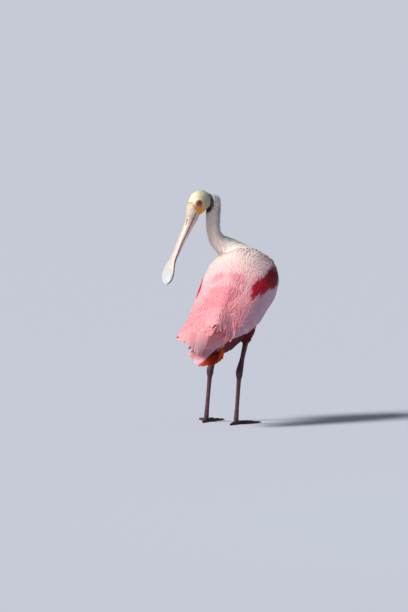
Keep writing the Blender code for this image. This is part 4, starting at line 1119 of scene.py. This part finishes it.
def make_bill():
    """Both halves of the bill, with the nostril slits as hollows near its root, painted dark as
    shade.
    """
    for name in ("upper", "lower"):
        rings, share, off_edge = bill_rings(name, 300, 61)
        painted = bill_colour(name, share, off_edge, rings)
        if name == "upper":
            ahead, above, left = head_terms(rings)
            along = np.clip((above + 30.5) / -10.5, 0, 1)
            offset = np.hypot(np.abs(left) - 4.4, (above + 30.5 + 10.5 * along) * 0.9)
            hollow = step(1.5, 0.5, offset) * (rings @ FACING > (rings.mean(1) @ FACING)[:, None])
            rings = rings - 1.5 * hollow[..., None] * (0.92 * FACING + 0.38 * UP)
            # Painted shade: the nostril hollows are painted near black, the shade deep inside the
            # slits.
            painted = mixed(painted, "3a2a24", 0.85 * hollow)
        across, along = np.meshgrid(np.linspace(0, 1, rings.shape[1]), share.ravel())
        points, triangles = lofts(rings[None])
        made = new_piece("bill_" + name + "_horn", points, triangles, bill_horn(),
                         painted, {"OFBake": np.stack([across, along], -1) * 0.94 + 0.03}, 50.0)
        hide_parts("bill_" + name)


def leg_rows(side):
    """Places and sizes down the bare leg: slim shin, knobbed heel, slim tarsus."""
    shin, heel, ankle = (np.array(LEGS[side][k], float) for k in ("shin", "heel", "ankle"))
    upward = (shin - heel) / np.linalg.norm(shin - heel)
    table = [
        (*(shin + 8 * upward), 5.4, 5.4, 5.4), (*shin, 5.6, 5.6, 5.6),
        (*(shin + 0.5 * (heel - shin)), 4.8, 4.8, 4.8), (*(heel + 11 * upward), 6.4, 6.4, 6.4),
        (*heel, 7.2, 7.4, 7.4), (*(heel + 0.09 * (ankle - heel)), 6.7, 6.8, 6.8),
        (*(heel + 0.22 * (ankle - heel)), 4.6, 4.8, 4.8),
        (*(heel + 0.70 * (ankle - heel)), 4.2, 4.4, 4.4), (*ankle, 5.0, 5.4, 5.4),
        (*(ankle - 7 * UP), 4.8, 5.2, 5.2),
    ]
    return smooth(table, 120)


def toe_heading(side, angle):
    turn = np.radians(LEGS[side]["heading"]) + SIDES[side] * np.radians(angle)
    return np.array([np.sin(turn), -np.cos(turn), 0.0])


def toe_rings(side, angle, length, half_width, pads):
    """A toe: an oval that tapers to the claw and swells at each pad, with a flat sole."""
    share = np.linspace(-0.04, CLAW_SHARE, 60)
    swell = 1 + 0.10 * np.cos(2 * np.pi * pads * share / CLAW_SHARE)
    widths = np.interp(share, (-0.04, 0.12, 0.62, CLAW_SHARE), (1, 1, 0.76, 0.5)) * half_width
    heights = np.interp(share, (-0.04, 0.12, 0.62, CLAW_SHARE), (4.6, 4.4, 3.4, 2.3))
    widths, heights = widths * swell, heights * (0.5 + 0.5 * swell)
    onward = toe_heading(side, angle)
    across = np.array([-onward[1], onward[0], 0.0])
    start = np.array([*LEGS[side]["ankle"][:2], 0.0])
    centres = start + (share * length)[:, None] * onward + (heights * SOLE_SHARE)[:, None] * UP
    rings = ovals(centres, across, UP, widths, heights, heights, 32)
    return np.maximum(rings, (-1e9, -1e9, 0.0))


def web_rings(side, near, far):
    """The web in the fork of two toes: a thin plate that narrows to its hollow front edge."""
    start = np.array([*LEGS[side]["ankle"][:2], 2.2])
    first, last = toe_heading(side, near), toe_heading(side, far)
    rings = []
    for share in np.linspace(0, 1, 16):
        onward = unit(first * (1 - share) + last * share)
        reach = 23 - 11 * np.sin(np.pi * share)
        spots = start + np.linspace(0.05, 1, 12)[:, None] * reach * onward
        rings.append(np.concatenate([spots + 0.8 * UP, (spots - 0.8 * UP)[::-1]]))
    return np.array(rings)


def make_legs():
    """Bare legs and feet, each one surface, with the claws as pieces of their own."""
    for side in SIDES:
        shapes = [path_rings(leg_rows(side), LEFT, 40)]
        shapes += [toe_rings(side, *toe) for toe in TOES]
        shapes += [web_rings(side, TOES[k][0], TOES[k + 1][0]) for k in (0, 1)]
        points, triangles = merged_flesh("leg", shapes, 0.85, 3)
        points = np.maximum(points, (-1e9, -1e9, 0.0))
        blotch = mottle(points, 13.0)
        heel = np.array(LEGS[side]["heel"])
        near_heel = np.exp(-((np.linalg.norm(points - heel, axis=1) - 2) / 13) ** 2)
        colour = mixed("5b3038", "70424a", step(-0.6, 0.8, blotch))
        colour = mixed(colour, "7c1e34", 0.55 * step(140, 178, points[:, 2]))
        colour = mixed(colour, "2c1c22", 0.6 * np.clip(near_heel + step(16, 4, points[:, 2]), 0, 1))
        unwrap = np.stack([np.arctan2(points[:, 0] - heel[0], points[:, 1] - heel[1]) / 6.3 + 0.5,
                           points[:, 2] / 190], -1)
        made = new_piece("leg_skin_" + side, points, triangles, scaly_skin(), colour,
                         {"OFBake": unwrap * 0.94 + 0.03})
        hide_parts("leg_" + side, "foot_" + side)
        make_claws(side)


def make_claws(side):
    """Claws: short horn cones that bend down to the ground."""
    rings = []
    for angle, length, half_width, _ in TOES:
        share = np.linspace(0, 1, 16)
        onward = toe_heading(side, angle)
        across = np.array([-onward[1], onward[0], 0.0])
        start = np.array([*LEGS[side]["ankle"][:2], 0.0])
        reach = length * (CLAW_SHARE - 0.02 + (1.02 - CLAW_SHARE) * share)
        thick = 1.9 * (1 - share) ** 0.7 + 0.12
        height = 2.2 + 0.5 * np.sin(np.pi * share) - 1.7 * share**1.5
        centres = start + reach[:, None] * onward + height[:, None] * UP
        rings.append(ovals(centres, across, UP, 0.7 * thick, thick, thick, 16))
    rings = np.maximum(np.array(rings), (-1e9, -1e9, 0.0))
    points, triangles = lofts(rings)
    new_piece("claws_" + side, points, triangles, claw_horn())


finishes = {}


def new_finish(name, roughness, **constants):
    """A material with its shader's plain numbers set straight on the sockets."""
    made = bpy.data.materials.new(name)
    made.use_nodes = True
    shader = made.node_tree.nodes["Principled BSDF"]
    shader.inputs["Roughness"].default_value = roughness
    for title, value in constants.items():
        shader.inputs[title.replace("_", " ")].default_value = value
    finishes[name] = made
    return made, made.node_tree, shader


def add_node(tree, kind, inputs=(), **settings):
    """A node of the given kind, with its settings and its inputs set or linked."""
    node = tree.nodes.new("ShaderNode" + kind)
    for title, value in settings.items():
        setattr(node, title, value)
    for title, value in dict(inputs).items():
        if isinstance(value, bpy.types.NodeSocket):
            tree.links.new(value, node.inputs[title])
        else:
            node.inputs[title].default_value = value
    return node


def coat_attribute(tree):
    return add_node(tree, "Attribute", attribute_name="Coat").outputs["Color"]


def scaled_colour(tree, colour, factor):
    """A colour times a number that varies over the surface."""
    node = add_node(tree, "Mix", data_type="RGBA", blend_type="MULTIPLY")
    node.inputs["Factor"].default_value = 1.0
    tree.links.new(colour, node.inputs["A"])
    tree.links.new(factor, node.inputs["B"])
    return node.outputs["Result"]


def feather_vane():
    """Feather: barbs slant from the shaft at 0.7 mm, the shaft shows a little darker."""
    if "feather" in finishes:
        return finishes["feather"]
    made, tree, shader = new_finish("feather", 0.68, Sheen_Weight=0.08, Sheen_Roughness=0.45,
                                    Specular_IOR_Level=0.25)
    vane = add_node(tree, "UVMap", uv_map="Vane").outputs["UV"]
    parts = add_node(tree, "SeparateXYZ", {"Vector": vane})
    middle = add_node(tree, "Math", {0: parts.outputs["X"], 1: 0.5}, operation="SUBTRACT")
    from_shaft = add_node(tree, "Math", {0: middle.outputs[0]}, operation="ABSOLUTE")
    slant = add_node(tree, "Math", {0: from_shaft.outputs[0], 1: -0.5, 2: parts.outputs["Y"]},
                     operation="MULTIPLY_ADD")
    lined = add_node(tree, "CombineXYZ", {"X": slant.outputs[0]})
    barbs = add_node(tree, "TexWave", {"Vector": lined.outputs[0], "Scale": 7.0,
                                       "Distortion": 1.5, "Detail": 1.0})
    shaft = add_node(tree, "MapRange", {"Value": from_shaft.outputs[0], "From Min": 0.015,
                                        "From Max": 0.05, "To Min": 0.90, "To Max": 1.0})
    soft = add_node(tree, "MapRange", {"Value": barbs.outputs["Fac"], "To Min": 0.96,
                                       "To Max": 1.03})
    both = add_node(tree, "Math", {0: shaft.outputs[0], 1: soft.outputs[0]}, operation="MULTIPLY")
    colour = scaled_colour(tree, coat_attribute(tree), both.outputs[0])
    tree.links.new(colour, shader.inputs["Base Color"])
    bump = add_node(tree, "Bump", {"Height": barbs.outputs["Fac"], "Strength": 0.35,
                                   "Distance": 0.0002})
    tree.links.new(bump.outputs[0], shader.inputs["Normal"])
    return made


def downy_skin():
    """Down on the skin between the feathers: soft, in clumps of 2 mm."""
    made, tree, shader = new_finish("down", 0.85, Sheen_Weight=0.3)
    place = add_node(tree, "TexCoord").outputs["Object"]
    clumps = add_node(tree, "TexNoise", {"Vector": place, "Scale": 500.0, "Detail": 3.0})
    soft = add_node(tree, "MapRange", {"Value": clumps.outputs["Fac"], "To Min": 0.85,
                                       "To Max": 1.05})
    colour = scaled_colour(tree, coat_attribute(tree), soft.outputs[0])
    tree.links.new(colour, shader.inputs["Base Color"])
    bump = add_node(tree, "Bump", {"Height": clumps.outputs["Fac"], "Strength": 0.6,
                                   "Distance": 0.0008})
    tree.links.new(bump.outputs[0], shader.inputs["Normal"])
    return made


def bare_skin():
    """Bare head skin: fine grains of 0.8 mm, creases of 3 mm and a faint waxy gloss."""
    if "bare skin" in finishes:
        return finishes["bare skin"]
    made, tree, shader = new_finish("bare skin", 0.52, Subsurface_Weight=0.06,
                                    Subsurface_Scale=0.002)
    place = add_node(tree, "TexCoord").outputs["Object"]
    grains = add_node(tree, "TexVoronoi", {"Vector": place, "Scale": 1200.0})
    creases = add_node(tree, "TexNoise", {"Vector": place, "Scale": 330.0, "Detail": 4.0})
    soft = add_node(tree, "MapRange", {"Value": creases.outputs["Fac"], "From Min": 0.3,
                                       "From Max": 0.7, "To Min": 0.86, "To Max": 1.08})
    colour = scaled_colour(tree, coat_attribute(tree), soft.outputs[0])
    tree.links.new(colour, shader.inputs["Base Color"])
    height = add_node(tree, "Math", {0: creases.outputs["Fac"], 1: grains.outputs["Distance"]},
                      operation="ADD")
    bump = add_node(tree, "Bump", {"Height": height.outputs[0], "Strength": 0.6,
                                   "Distance": 0.0004})
    tree.links.new(bump.outputs[0], shader.inputs["Normal"])
    return made


def bill_horn():
    """Bill horn: satin, with pits of 1 mm and blotches of 8 mm."""
    if "bill horn" in finishes:
        return finishes["bill horn"]
    made, tree, shader = new_finish("bill horn", 0.42, Coat_Weight=0.15, Coat_Roughness=0.35)
    place = add_node(tree, "TexCoord").outputs["Object"]
    blotches = add_node(tree, "TexNoise", {"Vector": place, "Scale": 120.0, "Detail": 5.0})
    pits = add_node(tree, "TexNoise", {"Vector": place, "Scale": 900.0, "Detail": 2.0})
    soft = add_node(tree, "MapRange", {"Value": blotches.outputs["Fac"], "From Min": 0.3,
                                       "From Max": 0.7, "To Min": 0.84, "To Max": 1.06})
    colour = scaled_colour(tree, coat_attribute(tree), soft.outputs[0])
    tree.links.new(colour, shader.inputs["Base Color"])
    rough = add_node(tree, "MapRange", {"Value": pits.outputs["Fac"], "To Min": 0.34,
                                        "To Max": 0.56})
    tree.links.new(rough.outputs[0], shader.inputs["Roughness"])
    bump = add_node(tree, "Bump", {"Height": pits.outputs["Fac"], "Strength": 0.4,
                                   "Distance": 0.0003})
    tree.links.new(bump.outputs[0], shader.inputs["Normal"])
    return made


def scaly_skin():
    """Leg skin: scales of 2.6 mm with sunk edges, dull, darker towards their edges and paler on their
    crowns.
    """
    if "scaly skin" in finishes:
        return finishes["scaly skin"]
    made, tree, shader = new_finish("scaly skin", 0.5)
    place = add_node(tree, "TexCoord").outputs["Object"]
    stretch = add_node(tree, "Mapping", {"Vector": place, "Scale": (1.0, 1.0, 0.8)})
    scales = add_node(tree, "TexVoronoi", {"Vector": stretch.outputs[0], "Scale": 390.0},
                      feature="DISTANCE_TO_EDGE")
    edge = add_node(tree, "MapRange", {"Value": scales.outputs["Distance"], "From Max": 0.12})
    shade = add_node(tree, "MapRange", {"Value": scales.outputs["Distance"], "From Max": 0.2,
                                        "To Min": 0.55, "To Max": 1.12})
    colour = scaled_colour(tree, coat_attribute(tree), shade.outputs[0])
    tree.links.new(colour, shader.inputs["Base Color"])
    bump = add_node(tree, "Bump", {"Height": edge.outputs[0], "Strength": 0.8,
                                   "Distance": 0.0004})
    tree.links.new(bump.outputs[0], shader.inputs["Normal"])
    return made


def claw_horn():
    """Claw horn: near black, paler and scuffed in fine streaks, with a low gloss."""
    if "claw horn" in finishes:
        return finishes["claw horn"]
    made, tree, shader = new_finish("claw horn", 0.38)
    place = add_node(tree, "TexCoord").outputs["Object"]
    streaks = add_node(tree, "TexNoise", {"Vector": place, "Scale": 600.0, "Detail": 3.0})
    ramp = add_node(tree, "ValToRGB", {"Fac": streaks.outputs["Fac"]})
    ramp.color_ramp.elements[0].color = (*linear("1b1517"), 1)
    ramp.color_ramp.elements[1].color = (*linear("4a3d3c"), 1)
    tree.links.new(ramp.outputs["Color"], shader.inputs["Base Color"])
    return made


def wet_eye():
    """Eye: black pupil, red iris that darkens to its rim, under a wet clear coat."""
    if "wet eye" in finishes:
        return finishes["wet eye"]
    made, tree, shader = new_finish("wet eye", 0.2, Coat_Weight=0.6, Coat_Roughness=0.03)
    gaze = add_node(tree, "Attribute", attribute_name="Gaze").outputs["Fac"]
    ramp = add_node(tree, "ValToRGB", {"Fac": gaze})
    marks = ((0.0, "050404"), (0.27, "060404"), (0.31, "a5140a"), (0.50, "cc1f0f"),
             (0.68, "a8180c"), (0.80, "6a0d07"), (1.0, "3a0d0a"))
    elements = ramp.color_ramp.elements
    elements[0].color = (*linear(marks[0][1]), 1)
    elements[-1].color = (*linear(marks[-1][1]), 1)
    for place, code in marks[1:-1]:
        elements.new(place).color = (*linear(code), 1)
    tree.links.new(ramp.outputs["Color"], shader.inputs["Base Color"])
    return made


# Key light: where it comes from, how soft it is, and its strength.
KEY_AZIMUTH = np.radians(134)
KEY_RISE = np.radians(40)
KEY_SPREAD = np.radians(16)
KEY_STRENGTH = 4.3
SKY_STRENGTH = 0.24

# Camera: azimuth and height of the view, and the point it looks at, between the feet in mm.
VIEW_AZIMUTH = np.radians(198)
VIEW_RISE = np.radians(3.5)
VIEW_POINT = np.array([37.0, 12.05, 240.9])
VIEW_DISTANCE = 14.0
FRAME_HEIGHT = 1.2546
SENSOR = 36.0


def make_camera():
    """A long lens that takes in FRAME_HEIGHT metres at the bird, from the photo's side."""
    back = np.array([np.sin(VIEW_AZIMUTH) * np.cos(VIEW_RISE),
                     -np.cos(VIEW_AZIMUTH) * np.cos(VIEW_RISE), np.sin(VIEW_RISE)])
    data = bpy.data.cameras.new("camera")
    data.sensor_width = SENSOR
    data.sensor_fit = "AUTO"
    data.lens = SENSOR * VIEW_DISTANCE / FRAME_HEIGHT
    data.clip_end = 400.0
    camera = bpy.data.objects.new("camera", data)
    bpy.context.scene.collection.objects.link(camera)
    aim = placed(VIEW_POINT)
    right = np.array([np.cos(VIEW_AZIMUTH), np.sin(VIEW_AZIMUTH), 0.0])
    turn = np.eye(4)
    turn[:3, 0], turn[:3, 1], turn[:3, 2] = right, np.cross(back, right), back
    turn[:3, 3] = aim + back * VIEW_DISTANCE
    camera.matrix_world = Matrix(turn.tolist())
    bpy.context.scene.camera = camera


def make_key():
    """Soft light like a bright sky panel from the photo's left and above, even over the floor."""
    data = bpy.data.lights.new("key", "SUN")
    data.angle = KEY_SPREAD
    data.energy = KEY_STRENGTH
    data.color = linear("fffaf4")
    lamp = bpy.data.objects.new("key", data)
    bpy.context.scene.collection.objects.link(lamp)
    lamp.rotation_euler = (np.pi / 2 - KEY_RISE, 0, KEY_AZIMUTH)


def make_light(name, azimuth, rise, distance, size, power, colour):
    """A square soft light at a direction from the bird, turned to face it."""
    back = np.array([np.sin(np.radians(azimuth)) * np.cos(np.radians(rise)),
                     -np.cos(np.radians(azimuth)) * np.cos(np.radians(rise)),
                     np.sin(np.radians(rise))])
    data = bpy.data.lights.new(name, "AREA")
    data.size = size
    data.energy = power
    data.color = linear(colour)
    lamp = bpy.data.objects.new(name, data)
    bpy.context.scene.collection.objects.link(lamp)
    aim = np.array([0.0, 0.0, 0.25])
    lamp.location = aim + back * distance
    lamp.rotation_euler = (np.pi / 2 - np.radians(rise), 0, np.radians(azimuth))


def make_surroundings():
    """A wide pale floor, an even pale sky, one large key light and a cool fill."""
    reach = 200.0
    mesh = bpy.data.meshes.new("floor")
    mesh.from_pydata([(-reach, -reach, 0), (reach, -reach, 0), (reach, reach, 0),
                      (-reach, reach, 0)], [], [(0, 1, 2, 3)])
    floor = bpy.data.objects.new("floor", mesh)
    bpy.context.scene.collection.objects.link(floor)
    made, tree, shader = new_finish("pale floor", 0.9)
    shader.inputs["Base Color"].default_value = (*linear("c3cad8"), 1)
    mesh.materials.append(made)
    world = bpy.data.worlds.new("studio")
    world.use_nodes = True
    sky = world.node_tree.nodes["Background"]
    sky.inputs["Color"].default_value = (*linear("dbe0f0"), 1)
    sky.inputs["Strength"].default_value = SKY_STRENGTH
    bpy.context.scene.world = world
    bpy.context.scene.view_settings.view_transform = "Standard"
    make_key()
    make_light("fill", 232, 15, 3.0, 2.0, 2.5, "b9caff")


def main():
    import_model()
    ground = make_skin()
    face = make_head_skin()
    make_eyes()
    make_bill()
    make_nape_coat(face)
    make_neck_coat(ground)
    make_breast_coat(ground)
    make_body_coat(ground)
    make_thigh_coats(ground)
    for side in SIDES:
        make_wing_vanes(side)
        make_soft_coverts(side, "lower_coverts", np.arange(50, 206, 5.6), 3.4)
        make_soft_coverts(side, "upper_coverts", np.arange(206, 308, 4.6), 2.9)
    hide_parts("wing_left")
    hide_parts("wing_right")
    make_scapulars()
    make_tail()
    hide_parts("tail")
    make_legs()
    make_surroundings()
    make_camera()


main()
